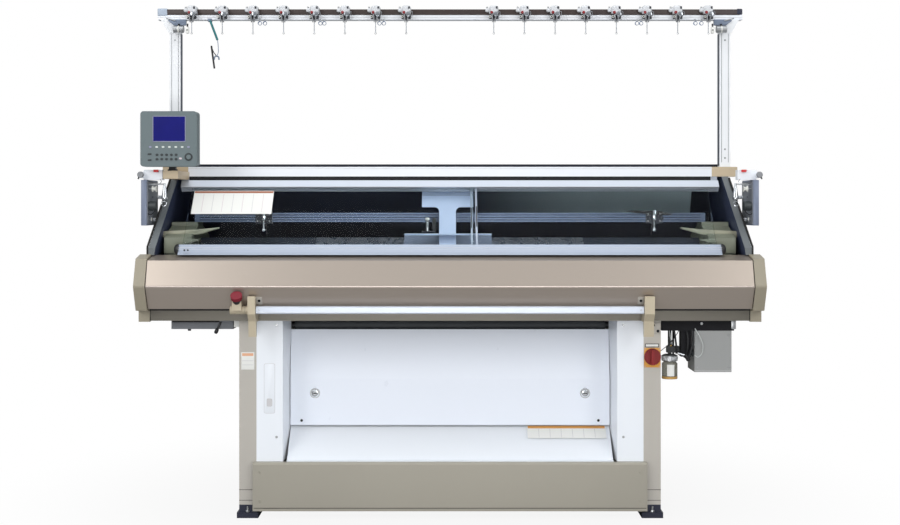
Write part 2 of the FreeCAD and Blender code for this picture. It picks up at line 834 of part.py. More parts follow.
rear_section = folded(
    [
        (rear_lip_y, top_rail_top_z + seat_gap, 1, 0),
        (rear_lip_y, rear_top_z, 1, -1),
        (rear_top_y, rear_top_z, -0.6, -1),
        (rear_y, side_knee_z, -1, 0),
        (rear_y, beam_bottom_z, -1, 0),
    ],
    sheet_wall,
)
rear_sheet = prism("rear_sheet", "YZ", rear_section, -side_foot_x - 20, side_foot_x + 20)
rear_top_x = side_outer_x(rear_top_z)
rear_outline = [
    (-side_foot_x, beam_bottom_z - 1),
    (side_foot_x, beam_bottom_z - 1),
    (side_foot_x, side_knee_z),
    (rear_top_x, rear_top_z + 1),
    (-rear_top_x, rear_top_z + 1),
    (-side_foot_x, side_knee_z),
]
rear_shape = prism("rear_shape", "XZ", rear_outline, 0, rear_y + 20)
node(common("rear_cover", rear_sheet, rear_shape))

# ---- needle beds and carriage --------------------------------------------------

for label, side in (("front_needle_bed", -1), ("rear_needle_bed", 1)):
    section = [
        (bed_gap_half * side, bed_top_z),
        on_bed(side, bed_length, 0),
        on_bed(side, bed_length, -bed_thickness),
        (bed_gap_half * side, bed_top_z - bed_thickness / cosine(bed_angle)),
    ]
    node(prism(label, "YZ", section, -bed_half_x, bed_half_x))

rail_y_out = yarn_rail_y + yarn_rail_thickness / 2
rail_y_in = yarn_rail_y - yarn_rail_thickness / 2
yarn_rails = []
for label, side in (("front_yarn_rail", -1), ("rear_yarn_rail", 1)):
    y = sided(rail_y_in, rail_y_out, side)
    rail_x = (-yarn_rail_half_x, yarn_rail_half_x)
    yarn_rails.append(block(label, rail_x, y, (yarn_rail_low_z, yarn_rail_top_z)))
node(group("yarn_rails", yarn_rails))

casting_section = [
    (-casting_y, bed_top_z + 9),
    (-casting_horn_y, yarn_rail_low_z - 17),
    (-casting_horn_y, yarn_rail_low_z),
    (casting_horn_y, yarn_rail_low_z),
    (casting_horn_y, yarn_rail_low_z - 17),
    (casting_y, bed_top_z + 9),
    (casting_y, beam_shoulder_z),
    on_bed(1, bed_length, -bed_thickness),
    (fabric_slot_half, slot_top),
    (-fabric_slot_half, slot_top),
    on_bed(-1, bed_length, -bed_thickness),
    (-casting_y, beam_shoulder_z),
]
castings = []
for label, side in SIDES:
    x = sided(casting_inner_x, casting_outer_x, side)
    casting = prism(label + "_casting", "YZ", casting_section, x[0], x[1])
    centre = (pulley_x * side, pulley_z)
    bore = rod(label + "_pulley_bore", "Y", casting_y - 20, casting_y + 2, centre, axle_radius + run_gap)
    castings.append(cut(label + "_end_casting", casting, bore))
node(group("end_castings", castings))

carriage_low_x = carriage_x - carriage_width / 2
carriage_high_x = carriage_x + carriage_width / 2


carriage_front_y = 4 - window_y(carriage_top_z, -bow_setback)


def carriage_section(side, reach):
    return [
        on_bed(side, carriage_start, carriage_lift),
        on_bed(side, bed_length, carriage_lift),
        (reach * side, carriage_top_z),
        ((reach - carriage_flat) * side, carriage_top_z),
        on_bed(side, carriage_start, carriage_depth),
    ]


front_outline = carriage_section(-1, carriage_front_y)
node(prism("front_carriage", "YZ", front_outline, carriage_low_x, carriage_high_x))
rear_outline = carriage_section(1, casting_y)
rear_block = prism("rear_carriage_block", "YZ", rear_outline, carriage_low_x, carriage_high_x)
belt_run_z = pulley_z + pulley_radius + seat_gap + belt_thickness
clamp_x = (carriage_x - 30, carriage_x + 30)
clamp_y = (casting_y - 6, belt_y + belt_width)
clamp = block("belt_clamp", clamp_x, clamp_y, (belt_run_z + seat_gap, carriage_top_z))
node(fuse("rear_carriage", rear_block, clamp))

# The bow is one T-shaped plate that leans with the window, bends back over the yarn rails
# and stands on the rear carriage.
bow_front = -bow_setback
bow_back = -bow_setback - bow_plate
bow_under_z = bow_head_top_z - bow_arm_depth
rear_leg_inner_y = casting_y - carriage_flat + 5
rear_leg_y = (rear_leg_inner_y, rear_leg_inner_y + bow_leg_thickness)
bow_band = [
    (window_y(carriage_top_z, bow_front), carriage_top_z),
    (window_y(bow_head_top_z, bow_front), bow_head_top_z),
    (rear_leg_y[1], bow_head_top_z),
    (rear_leg_y[1], carriage_top_z),
    (rear_leg_y[0], carriage_top_z),
    (rear_leg_y[0], bow_under_z),
    (window_y(bow_under_z, bow_back), bow_under_z),
    (window_y(carriage_top_z, bow_back), carriage_top_z),
]
stem = (bow_x - bow_stem_width / 2, bow_x + bow_stem_width / 2)
head = (bow_x - bow_head_width / 2, bow_x + bow_head_width / 2)
bow_outline = [
    (stem[0], carriage_top_z - 60),
    (stem[1], carriage_top_z - 60),
    (stem[1], bow_head_low_z),
    (head[1], bow_head_low_z),
    (head[1], bow_head_top_z),
    (head[0], bow_head_top_z),
    (head[0], bow_head_low_z),
    (stem[0], bow_head_low_z),
]
bow_face = prism("bow_face", "XZ", bow_outline, -carriage_front_y - 20, carriage_front_y)
round_corners(bow_face, bow_fillet, [bow_outline[2], bow_outline[7]])
bow_side = prism("bow_side", "YZ", bow_band, head[0] - 10, head[1] + 10)
node(common("carriage_bow", bow_face, bow_side))

carrier_places = (("left", left_carrier_x), ("right", right_carrier_x))
for label, x in carrier_places:
    saddle = [
        (-rail_y_out - carrier_wall, yarn_rail_top_z + carrier_wall),
        (-rail_y_in + carrier_wall, yarn_rail_top_z + carrier_wall),
        (-rail_y_in + carrier_wall, yarn_rail_low_z - carrier_wall),
        (-rail_y_out - carrier_wall, yarn_rail_low_z - carrier_wall),
    ]
    opening = [
        (-rail_y_out - seat_gap, yarn_rail_top_z + seat_gap),
        (-rail_y_in + seat_gap, yarn_rail_top_z + seat_gap),
        (-rail_y_in + seat_gap, yarn_rail_low_z - seat_gap),
        (-rail_y_out - seat_gap, yarn_rail_low_z - seat_gap),
    ]
    feeder = [
        (-rail_y_in + carrier_wall, yarn_rail_low_z - 4),
        (-rail_y_out, yarn_rail_low_z - 4),
        (-rail_y_out, yarn_rail_low_z - 20),
        (-3, bed_top_z + 8),
        (3, bed_top_z + 8),
        (3, bed_top_z + 20),
        (-8, yarn_rail_low_z - 20),
    ]
    half = carrier_width / 2
    sleeve = prism(label + "_carrier_sleeve", "YZ", saddle, x - half, x + half, opening)
    nose = prism(label + "_carrier_feeder", "YZ", feeder, x - 9, x + 9)
    node(fuse(label + "_yarn_carrier", sleeve, nose))

# ---- drive and take-down -------------------------------------------------------

belt_inside = pulley_radius + seat_gap
belt_outside = belt_inside + belt_thickness
belt_y_range = (belt_y, belt_y + belt_width)


def belt_loop(name, radius):
    ends = []
    for label, side in SIDES:
        centre = (pulley_x * side, pulley_z)
        ends.append(rod("%s_%s" % (name, label), "Y", belt_y, belt_y + belt_width, centre, radius))
    run = block(name + "_run", (-pulley_x, pulley_x), belt_y_range, (pulley_z - radius, pulley_z + radius))
    return fuse(name, run, *ends)


node(cut("drive_belt", belt_loop("belt_outer", belt_outside), belt_loop("belt_inner", belt_inside)))

for label, side in (("idler_pulley", -1), ("drive_pulley", 1)):
    centre = (pulley_x * side, pulley_z)
    wheel = rod(label + "_wheel", "Y", belt_y - 3, belt_y + belt_width + 3, centre, pulley_radius)
    axle = rod(label + "_axle", "Y", casting_y - 15, belt_y, centre, axle_radius)
    node(fuse(label, wheel, axle))

motor_y = belt_y + belt_width + 3 + seat_gap
motor_x = (pulley_x - motor_half, pulley_x + motor_half)
motor_z = (pulley_z - motor_half, pulley_z + motor_half)
motor_body = block("motor_body", motor_x, (motor_y, motor_y + motor_length), motor_z)
foot_z = (beam_shoulder_z + motor_foot_rise, pulley_z - belt_outside - 5)
motor_foot = block("motor_foot", motor_x, (casting_y, motor_y + 60), foot_z)
motor_web = block("motor_web", motor_x, (motor_y + 10, motor_y + 60), (foot_z[1] - 5, motor_z[0] + 5))
node(fuse("drive_motor", motor_body, motor_foot, motor_web))

for label, side in (("front_takedown_roller", -1), ("rear_takedown_roller", 1)):
    centre = ((roller_radius + seat_gap) * side, roller_z)
    barrel = rod(label + "_barrel", "X", -roller_half_x, roller_half_x, centre, roller_radius)
    tip = leg_inner_x + 12
    axle = rod(label + "_axle", "X", -tip, tip, centre, axle_radius)
    node(fuse(label, barrel, axle))

# ---- control panel --------------------------------------------------------------

half_panel = panel_width / 2
screen_panel_x = -cover_half_x + panel_inset
screen_panel_low_z = arm_top_z + panel_rise
tilt_z = arm_top_z + tilt_rise
panel_front_y = -swivel_y - 18 - panel_depth
panel_rear_y = -swivel_y - 18
panel_x_range = (screen_panel_x - half_panel, screen_panel_x + half_panel)
panel_z_range = (screen_panel_low_z, screen_panel_low_z + panel_height)
case_outline = [
    (panel_x_range[0], panel_z_range[0]),
    (panel_x_range[1], panel_z_range[0]),
    (panel_x_range[1], panel_z_range[1]),
    (panel_x_range[0], panel_z_range[1]),
]
case_box = prism("case_box", "XZ", case_outline, panel_front_y, panel_rear_y)
round_corners(case_box, panel_radius, case_outline)
screen_x = (panel_x_range[0] + 57, panel_x_range[1] - 52)
screen_z = (panel_z_range[0] + 111, panel_z_range[1] - 24)
screen_y = (panel_front_y - 1, panel_front_y + 8)
recess_x = (screen_x[0] - seat_gap, screen_x[1] + seat_gap)
recess_z = (screen_z[0] - seat_gap, screen_z[1] + seat_gap)
screen_recess = block("screen_recess", recess_x, (screen_y[0] - 5, screen_y[1]), recess_z)
ears = []
for label, side in SIDES:
    x = (screen_panel_x + 15.5 * side, screen_panel_x + 25 * side)
    ear_y = (panel_rear_y - 1, -swivel_y + 12)
    ear_z = (tilt_z - tilt_barrel_radius, tilt_z + tilt_barrel_radius)
    ears.append(block(label + "_ear", x if side > 0 else x[::-1], ear_y, ear_z))
tilt_spot = (-swivel_y, tilt_z)
bore_x = (screen_panel_x - 40, screen_panel_x + 40)
ear_bore = rod("ear_bore", "X", bore_x[0], bore_x[1], tilt_spot, tilt_pin_radius + run_gap)
case_solid = fuse("case_solid", case_box, *ears)
node(cut("panel_case", case_solid, screen_recess, ear_bore))
node(block("panel_screen", screen_x, screen_y, screen_z))

neck_base_z = (arm_top_z + seat_gap, arm_top_z + 7)
swivel_spot = (screen_panel_x, -swivel_y)
neck_base = rod("neck_base", "Z", neck_base_z[0], neck_base_z[1], swivel_spot, swivel_radius)
neck_x = (screen_panel_x - 15, screen_panel_x + 15)
neck_post = block("neck_post", neck_x, (-swivel_y - 12, -swivel_y + 12), (neck_base_z[1], tilt_z))
neck_barrel = rod("neck_barrel", "X", neck_x[0], neck_x[1], (-swivel_y, tilt_z), tilt_barrel_radius)
pin_x = (screen_panel_x - 26, screen_panel_x + 26)
neck_pin = rod("neck_pin", "X", pin_x[0], pin_x[1], tilt_spot, tilt_pin_radius)
node(fuse("panel_neck", neck_base, neck_post, neck_barrel, neck_pin))
arm_x = (screen_panel_x - arm_half_width, screen_panel_x + arm_half_width)
arm_front_y = -swivel_y - 46
arm_section = [
    (arm_front_y, arm_low_z),
    (window_y(arm_low_z, side_proud + 1), arm_low_z),
    (window_y(top_rail_low_z, side_proud + 1), top_rail_low_z + seat_gap),
    (top_rail_y, top_rail_low_z + seat_gap),
    (top_rail_y, arm_top_z),
    (arm_front_y, arm_top_z),
]
node(prism("panel_arm", "YZ", arm_section, arm_x[0], arm_x[1]))

# ---- start bar, stop button and main switch ---------------------------------------

bar_section = [
    (-bar_y - bar_depth / 2, bar_z - bar_height / 2),
    (-bar_y + bar_depth / 2, bar_z - bar_height / 2),
    (-bar_y + bar_depth / 2, bar_z + bar_height / 2),
    (-bar_y - bar_depth / 2, bar_z + bar_height / 2),
]
bar_body = prism("bar_extrusion", "YZ", bar_section, -bar_half_x, bar_half_x)
round_corners(bar_body, bar_radius, bar_section)
pin_reach = bar_half_x + 16
bar_pins = rod("bar_pins", "X", -pin_reach, pin_reach, (-bar_y, bar_z), bar_pin_radius)
node(fuse("start_bar", bar_body, bar_pins))

bracket_section = [
    (-beam_front_y - sheet_wall, beam_bottom_z),
    (-beam_front_y - sheet_wall, cover_seam_z - sheet_wall - 4),
    (-cover_seam_y - 4, cover_seam_z - sheet_wall - 4),
    (-cover_seam_y - 14, cover_seam_z + 10),
    (-ridge_y + 14, cover_seam_z + 58),
    (-ridge_y - 8, cover_seam_z + 58),
    (-ridge_y - 8, cover_seam_z - 18),
    (-bar_y - 8, cover_seam_z - 50),
    (-bar_y - 2, beam_bottom_z - 62),
    (-bar_y + 18, beam_bottom_z - 62),
    (-bar_y + 24, beam_bottom_z),
]
# The stop button's stem is guided in its collar and leans towards the operator.
lean = FreeCAD.Rotation(FreeCAD.Vector(1, 0, 0), stop_tilt.value)


def leaning_rod(name, start, length, radius):
    shape = doc.addObject("Part::Cylinder", name)
    bind(shape, "Radius", radius)
    bind(shape, "Height", length)
    shape.Placement = FreeCAD.Placement(FreeCAD.Vector(), lean)
    shape.setExpression("Placement.Rotation.Angle", stop_tilt.text + " * 1 deg")
    bind(shape, "Placement.Base.x", stop_x)
    bind(shape, "Placement.Base.y", -stop_y + 21 - start * sine(stop_tilt))
    bind(shape, "Placement.Base.z", stop_z + start * cosine(stop_tilt))
    return shape


for label, side in SIDES:
    inner_x = bar_half_x + 1.5
    x = sided(inner_x, inner_x + (32 if side < 0 else 42), side)
    plate = prism(label + "_bracket_plate", "YZ", bracket_section, x[0], x[1])
    bore = rod(label + "_bracket_bore", "X", x[0] - 5, x[1] + 5, (-bar_y, bar_z), bar_pin_radius + run_gap)
    if side < 0:
        barrel_x = (x[0] + 2 - barrel_length, x[0] + 2)
        barrel = rod("switch_barrel", "X", barrel_x[0], barrel_x[1], (-bar_y, bar_z), barrel_radius)
        collar_z = (bar_z, stop_z)
        collar_x = (stop_x - 20, stop_x + 20)
        collar = block("stop_box", collar_x, (-stop_y + 8, -stop_y + 34), collar_z)
        stop_bore = leaning_rod("stop_bore", as_size(-12), as_size(40), stop_stem_radius + seat_gap)
        collar_cut = cut("stop_collar", collar, stop_bore)
        plate = fuse("left_bracket_solid", plate, barrel, collar_cut)
    node(cut(label + "_bar_bracket", plate, bore))

mushroom = leaning_rod("stop_head", as_size(20), as_size(16), stop_radius)
stem = leaning_rod("stop_stem", as_size(8), as_size(14), stop_stem_radius)
node(fuse("stop_button", mushroom, stem))

switch_x = leg_inner_x + leg_width / 2
switch_spot = (switch_x, switch_z)
switch_face = -leg_front_y - seat_gap
switch_disc = rod("switch_disc", "Y", switch_face - 14, switch_face - 4, switch_spot, switch_radius)
switch_shaft = rod("switch_shaft", "Y", switch_face - 4, switch_face, switch_spot, 12)
grip_x = (switch_x - 8, switch_x + 8)
grip_z = (switch_z - switch_radius + 4, switch_z + switch_radius - 4)
switch_grip = block("switch_grip", grip_x, (switch_face - 32, switch_face - 14), grip_z)
node(fuse("main_switch_knob", switch_disc, switch_shaft, switch_grip))

# ---- below the bed -----------------------------------------------------------------

hanger_back = -hanger_y + hanger_depth
hanger_x = (leg_outer_x + 5, cover_half_x - hanger_end_inset)
hanger_beam = block("hanger_beam", hanger_x, (-hanger_y, hanger_back), (hanger_low_z, beam_bottom_z))
duct_x = (leg_outer_x + 92, leg_outer_x + 135)
duct = block("hanger_duct", duct_x, (-hanger_y + 10, -hanger_y + 60), (hanger_low_z - 115, hanger_low_z))
lead_spot = (leg_outer_x + 70, -hanger_y + 82)
lead = rod("hanger_lead", "Z", hanger_low_z - 123, hanger_low_z, lead_spot, 4.5)
node(fuse("equipment_hanger", hanger_beam, duct, lead))
box_top = hanger_low_z - seat_gap
box_high_x = cover_half_x - hanger_end_inset - 11
box_x = (box_high_x - box_width, box_high_x)
node(block("control_box", box_x, (-hanger_y, -hanger_y + box_depth), (hanger_low_z - box_height, box_top)))
bottle_spot = (bottle_x, -hanger_y + 40)
bottle_body = rod("bottle_body", "Z", bottle_low_z, bottle_top_z - 12, bottle_spot, bottle_radius)
shoulder_z = bottle_top_z - 12
neck_radius = bottle_radius - 12
bottle_neck = rod("bottle_neck", "Z", shoulder_z, bottle_top_z, bottle_spot, bottle_radius, neck_radius)
node(fuse("oil_bottle", bottle_body, bottle_neck))
head_cap = rod("oil_cap", "Z", bottle_top_z + seat_gap, bottle_top_z + 28, bottle_spot, bottle_radius - 10)
head_pipe = rod("oil_pipe", "Z", bottle_top_z + 28, hanger_low_z - seat_gap, bottle_spot, 8)
valve_y = (-hanger_y + 26, -hanger_y + 54)
valve_z = (bottle_top_z + 36, bottle_top_z + 64)
head_body = block("oil_valve", (bottle_x - 14, bottle_x + 40), valve_y, valve_z)
node(fuse("oil_head", head_cap, head_pipe, head_body))
tray_z = (beam_bottom_z - tray_box_height, beam_bottom_z - seat_gap)
tray_inner_x = -leg_outer_x - 28
node(block("side_tray", (tray_inner_x - tray_box_width, tray_inner_x), (-hanger_y, -60), tray_z))

# ---- side tension units ----------------------------------------------------------------

plates = []
for label, side in SIDES:
    angle_plate = [
        (side_plate_x * side, -side_plate_y + side_plate_depth),
        (side_plate_x * side, -side_plate_y),
        ((side_plate_x - side_plate_flange) * side, -side_plate_y),
        ((side_plate_x - side_plate_flange) * side, -side_plate_y + 4),
        ((side_plate_x - 4) * side, -side_plate_y + 4),
        ((side_plate_x - 4) * side, -side_plate_y + side_plate_depth),
    ]
    plate = prism(label + "_tension_plate", "XY", angle_plate, side_plate_low_z, side_plate_top_z)
    parts = [plate]
    for row, spot_z in (("low", side_plate_low_z + 25), ("high", side_plate_low_z + 125)):
        spot_y = window_y(spot_z, side_proud) + 40
        near = side_outer_x(spot_z - 8) + seat_gap
        x = sided(near, side_plate_x - 2, side)
        parts.append(rod("%s_%s_spacer" % (label, row), "X", x[0], x[1], (spot_y, spot_z), 8))
    head_x = sided(side_plate_x - 90, side_plate_x - 8, side)
    head_y = (-side_plate_y, -side_plate_y + 44)
    parts.append(block(label + "_tension_head", head_x, head_y, (side_plate_top_z, side_plate_top_z + 44)))
    knob_x = side_plate_x * side
    knob_spot = (knob_x, side_plate_top_z + 22)
    parts.append(rod(label + "_tension_knob", "Y", -side_plate_y - 14, -side_plate_y + 20, knob_spot, 14))
    plates.append(fuse(label + "_tension_unit", *parts))
node(group("side_tension_plates", plates))

for label, side in SIDES:
    hub_x = sided(side_plate_x - 34, side_plate_x - 4 - seat_gap, side)
    hub = rod(label + "_arm_hub", "X", hub_x[0], hub_x[1], (-side_arm_y, side_arm_z), 20)
    arm_width = sided(side_plate_x - 24, side_plate_x - 14, side)
    arm_z = (side_arm_z - side_arm_reach, side_arm_z)
    arm = block(label + "_arm_bar", arm_width, (-side_arm_y - 6, -side_arm_y + 6), arm_z)
    roller_spot = (-side_arm_y, side_arm_z - side_arm_reach)
    roller = rod(label + "_arm_roller", "X", hub_x[0], hub_x[1], roller_spot, 14)
    node(fuse(label + "_side_arm", hub, arm, roller))

# ---- yarn stand --------------------------------------------------------------------------

channel_top_z = channel_low_z + channel_height
yarn_bar_top_z = channel_top_z + yarn_bar_height
post_y = (post_front_y, post_front_y + post_depth)
posts = []
for label, side in SIDES:
    x = sided(post_x - post_width / 2, post_x + post_width / 2, side)
    post = block(label + "_post_tube", x, post_y, (top_rail_top_z, channel_low_z))
    gusset = [
        ((post_x - post_width / 2 - 30) * side, channel_low_z),
        ((post_x + post_width / 2 + 40) * side, channel_low_z),
        ((post_x + post_width / 2 + 4) * side, channel_low_z - 60),
        ((post_x - post_width / 2 - 4) * side, channel_low_z - 60),
    ]
    gusset_plate = prism(label + "_gusset", "XZ", gusset, post_front_y - 5, post_front_y)
    posts.append(fuse(label + "_post", post, gusset_plate))
node(group("stand_posts", posts))

bar_end_x = post_x + yarn_bar_overhang
bar_x = (-bar_end_x, bar_end_x)
channel = block("stand_channel", bar_x, post_y, (channel_low_z, channel_top_z))
dark_y = (post_front_y + 2, post_front_y + post_depth - 2)
dark_bar = block("dark_bar", bar_x, dark_y, (channel_top_z, yarn_bar_top_z))
node(group("stand_bar", [channel, dark_bar]))

unit_places = []
for i in range(8):
    unit_places.append(-unit_first_x - unit_pitch * (7 - i))
for i in range(8):
    unit_places.append(unit_first_x + unit_pitch * i)
unit_arm_spot = (post_front_y - 20, channel_low_z + 4)
bodies = []
arms = []
for i, x in enumerate(unit_places):
    tag = "unit_%02d" % (i + 1)
    width = (x - unit_width / 2, x + unit_width / 2)
    saddle_section = [
        (post_front_y - unit_reach, channel_low_z - 18),
        (post_front_y - seat_gap, channel_low_z - 18),
        (post_front_y - seat_gap, yarn_bar_top_z + seat_gap),
        (dark_y[1] + seat_gap, yarn_bar_top_z + seat_gap),
        (dark_y[1] + seat_gap, yarn_bar_top_z + 17),
        (post_front_y - unit_reach, yarn_bar_top_z + 17),
    ]
    saddle = prism(tag + "_saddle", "YZ", saddle_section, width[0], width[1])
    slot_x = (x - 4, x + 4)
    slot_y = (post_front_y - 40, post_front_y - 8)
    slot = block(tag + "_slot", slot_x, slot_y, (channel_low_z - 30, channel_low_z + 18))
    arm_pin_bore = rod(tag + "_bore", "X", x - 10, x + 10, unit_arm_spot, 3 + run_gap)
    bodies.append(cut(tag + "_body", saddle, slot, arm_pin_bore))
    hub = rod(tag + "_hub", "X", x - 3.5, x + 3.5, unit_arm_spot, 6)
    pin = rod(tag + "_pin", "X", x - 9, x + 9, unit_arm_spot, 3)
    wire = rod(tag + "_wire", "Z", channel_low_z - 62, channel_low_z, (x, unit_arm_spot[0]), 2)
    arms.append(fuse(tag + "_arm", hub, pin, wire))
node(group("tension_bodies", bodies))
node(group("tension_arms", arms))

# ---- checks and files ------------------------------------------------------------------------

doc.recompute()
for item in doc.Objects:
    if any(word in state for state in item.State for word in ("Invalid", "Error")):
        raise RuntimeError("%s did not build: %s" % (item.Name, item.State))
for piece in nodes:
    if piece.Shape.isNull() or not piece.Shape.isValid() or not piece.Shape.Solids:
        raise RuntimeError("%s has no valid solid" % piece.Label)
if len({piece.Label for piece in nodes}) != len(nodes):
    raise RuntimeError("two sub-parts share a label")

os.makedirs("parts", exist_ok=True)
for piece in nodes:
    piece.Shape.exportStep("parts/%s.step" % piece.Label)
print("%d sub-parts written" % len(nodes))
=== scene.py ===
# Flat knitting machine: its finishes and fine detail, built round the machine's own frame.
# Everything is in metres: X along the needle beds, Y to the back, Z up, the floor at zero.
import math
import bmesh
import bpy
from mathutils import Matrix, Vector


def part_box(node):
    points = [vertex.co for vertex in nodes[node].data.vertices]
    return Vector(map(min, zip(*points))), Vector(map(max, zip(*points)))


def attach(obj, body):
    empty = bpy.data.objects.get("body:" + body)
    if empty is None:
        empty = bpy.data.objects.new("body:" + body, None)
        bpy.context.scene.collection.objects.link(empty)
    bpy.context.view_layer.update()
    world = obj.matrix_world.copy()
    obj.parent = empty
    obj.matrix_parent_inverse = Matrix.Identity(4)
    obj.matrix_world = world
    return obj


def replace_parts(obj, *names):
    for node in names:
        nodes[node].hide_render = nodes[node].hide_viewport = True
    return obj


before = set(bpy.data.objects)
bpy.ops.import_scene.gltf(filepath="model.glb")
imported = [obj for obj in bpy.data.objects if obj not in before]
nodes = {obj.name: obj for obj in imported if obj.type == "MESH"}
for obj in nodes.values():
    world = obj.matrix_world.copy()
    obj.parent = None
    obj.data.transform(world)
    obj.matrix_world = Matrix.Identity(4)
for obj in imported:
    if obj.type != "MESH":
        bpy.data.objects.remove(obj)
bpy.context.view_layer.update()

# ---- View and light --------------------------------------------------------------------------
# The machine is seen square from the front, from about the eye height of a standing
# operator. The lens looks level, so the frame is shifted down a little to hold the feet.
eye_height = 1.365
camera_data = bpy.data.cameras.new("front_view")
camera_data.lens = 51.6
camera_data.sensor_width = 36.0
camera_data.shift_y = -0.064
camera_data.clip_end = 60.0
camera = bpy.data.objects.new("front_view", camera_data)
camera.location = (0.0, -5.91, eye_height)
camera.rotation_euler = (math.radians(90), 0.0, 0.0)
bpy.context.scene.collection.objects.link(camera)
bpy.context.scene.camera = camera
bpy.context.scene.view_settings.view_transform = "Standard"

# The walls of the studio are white to look at, but they light the machine from above: the
# light falls off below eye height, so faces that turn under stay in shade.
world = bpy.data.worlds.new("white_studio")
world.use_nodes = True
sky = world.node_tree
sky_place = sky.nodes.new("ShaderNodeTexCoord")
sky_axes = sky.nodes.new("ShaderNodeSeparateXYZ")
sky.links.new(sky_place.outputs["Generated"], sky_axes.inputs["Vector"])
sky_fall = sky.nodes.new("ShaderNodeMapRange")
sky_fall.interpolation_type = "SMOOTHSTEP"
for label, value in (("From Min", -0.35), ("From Max", 0.75), ("To Min", 0.2), ("To Max", 0.8)):
    sky_fall.inputs[label].default_value = value
sky.links.new(sky_axes.outputs["Z"], sky_fall.inputs["Value"])
sky_light = sky.nodes["Background"]
sky_light.inputs["Color"].default_value = (0.95, 0.98, 1.0, 1.0)
sky.links.new(sky_fall.outputs["Result"], sky_light.inputs["Strength"])
sky_white = sky.nodes.new("ShaderNodeBackground")
sky_white.inputs["Color"].default_value = (1.0, 1.0, 1.0, 1.0)
sky_path = sky.nodes.new("ShaderNodeLightPath")
sky_choice = sky.nodes.new("ShaderNodeMixShader")
sky.links.new(sky_path.outputs["Is Camera Ray"], sky_choice.inputs["Fac"])
sky.links.new(sky_light.outputs["Background"], sky_choice.inputs[1])
sky.links.new(sky_white.outputs["Background"], sky_choice.inputs[2])
sky.links.new(sky_choice.outputs["Shader"], sky.nodes["World Output"].inputs["Surface"])
bpy.context.scene.world = world


def soft_light(name, place, aim, width, height, watts):
    """A rectangular softbox turned towards a point of the machine."""
    data = bpy.data.lights.new(name, "AREA")
    data.shape = "RECTANGLE"
    data.size = width
    data.size_y = height
    data.energy = watts
    lamp = bpy.data.objects.new(name, data)
    lamp.location = place
    lamp.rotation_euler = (Vector(aim) - Vector(place)).to_track_quat("-Z", "Y").to_euler()
    bpy.context.scene.collection.objects.link(lamp)


soft_light("left_softbox", (-3.2, -3.6, 3.0), (-0.6, 0.0, 1.0), 1.6, 2.4, 52)
soft_light("right_softbox", (3.4, -3.6, 2.8), (0.8, 0.0, 1.0), 1.4, 2.2, 44)
soft_light("overhead_softbox", (0.0, -1.2, 4.6), (0.0, -0.3, 1.0), 4.0, 1.2, 34)
soft_light("front_softbox", (0.0, -4.4, 0.7), (0.0, -0.2, 0.45), 3.0, 0.7, 46)

# ---- Floor -----------------------------------------------------------------------------------
# A seamless studio floor, much larger than the machine. It looks white, so that it runs into
# the white wall with no edge, but it sends only a little light back up at the machine.
floor_mesh = bpy.data.meshes.new("studio_floor")
floor_reach = 14.0
floor_corners = [(-1, -1), (1, -1), (1, 1), (-1, 1)]
floor_mesh.from_pydata(
    [(x * floor_reach, y * floor_reach, 0.0) for x, y in floor_corners], [], [(0, 1, 2, 3)],
)
floor_piece = bpy.data.objects.new("studio_floor", floor_mesh)
bpy.context.scene.collection.objects.link(floor_piece)
floor_paint = bpy.data.materials.new("pale_floor")
floor_paint.use_nodes = True
floor_tree = floor_paint.node_tree
floor_shader = floor_tree.nodes["Principled BSDF"]
floor_shader.inputs["Base Color"].default_value = (0.34, 0.34, 0.34, 1.0)
floor_shader.inputs["Roughness"].default_value = 0.9
floor_place = floor_tree.nodes.new("ShaderNodeTexCoord")
floor_far = floor_tree.nodes.new("ShaderNodeVectorMath")
floor_far.operation = "LENGTH"
floor_tree.links.new(floor_place.outputs["Object"], floor_far.inputs[0])
floor_fade = floor_tree.nodes.new("ShaderNodeMapRange")
floor_fade.interpolation_type = "SMOOTHSTEP"
for label, value in (("From Min", 0.7), ("From Max", 2.4), ("To Min", 0.9), ("To Max", 1.0)):
    floor_fade.inputs[label].default_value = value
floor_tree.links.new(floor_far.outputs["Value"], floor_fade.inputs["Value"])
floor_glow = floor_tree.nodes.new("ShaderNodeEmission")
floor_mix = floor_tree.nodes.new("ShaderNodeMixShader")
floor_seen = floor_tree.nodes.new("ShaderNodeLightPath")
floor_share = floor_tree.nodes.new("ShaderNodeMath")
floor_share.operation = "MULTIPLY"
floor_tree.links.new(floor_fade.outputs["Result"], floor_share.inputs[0])
floor_tree.links.new(floor_seen.outputs["Is Camera Ray"], floor_share.inputs[1])
floor_tree.links.new(floor_share.outputs["Value"], floor_mix.inputs["Fac"])
floor_tree.links.new(floor_shader.outputs["BSDF"], floor_mix.inputs[1])
floor_tree.links.new(floor_glow.outputs["Emission"], floor_mix.inputs[2])
floor_tree.links.new(floor_mix.outputs["Shader"], floor_tree.nodes["Material Output"].inputs["Surface"])
floor_mesh.materials.append(floor_paint)

# ---- Stand -----------------------------------------------------------------------------------
# Two welded box legs of sheet steel and a folded plinth between them, in warm grey enamel.
# They are bolted together from behind, so the faces are plain apart from the pressed
# grooves near the floor, the leg's blank rating plate and the plinth's cap screws.
def linear(red, green, blue):
    """A paint's colour from its 0 to 255 shop values, as the renderer's linear light."""
    def one(value):
        share = value / 255.0
        return share / 12.92 if share <= 0.04045 else ((share + 0.055) / 1.055) ** 2.4
    return (one(red), one(green), one(blue), 1.0)


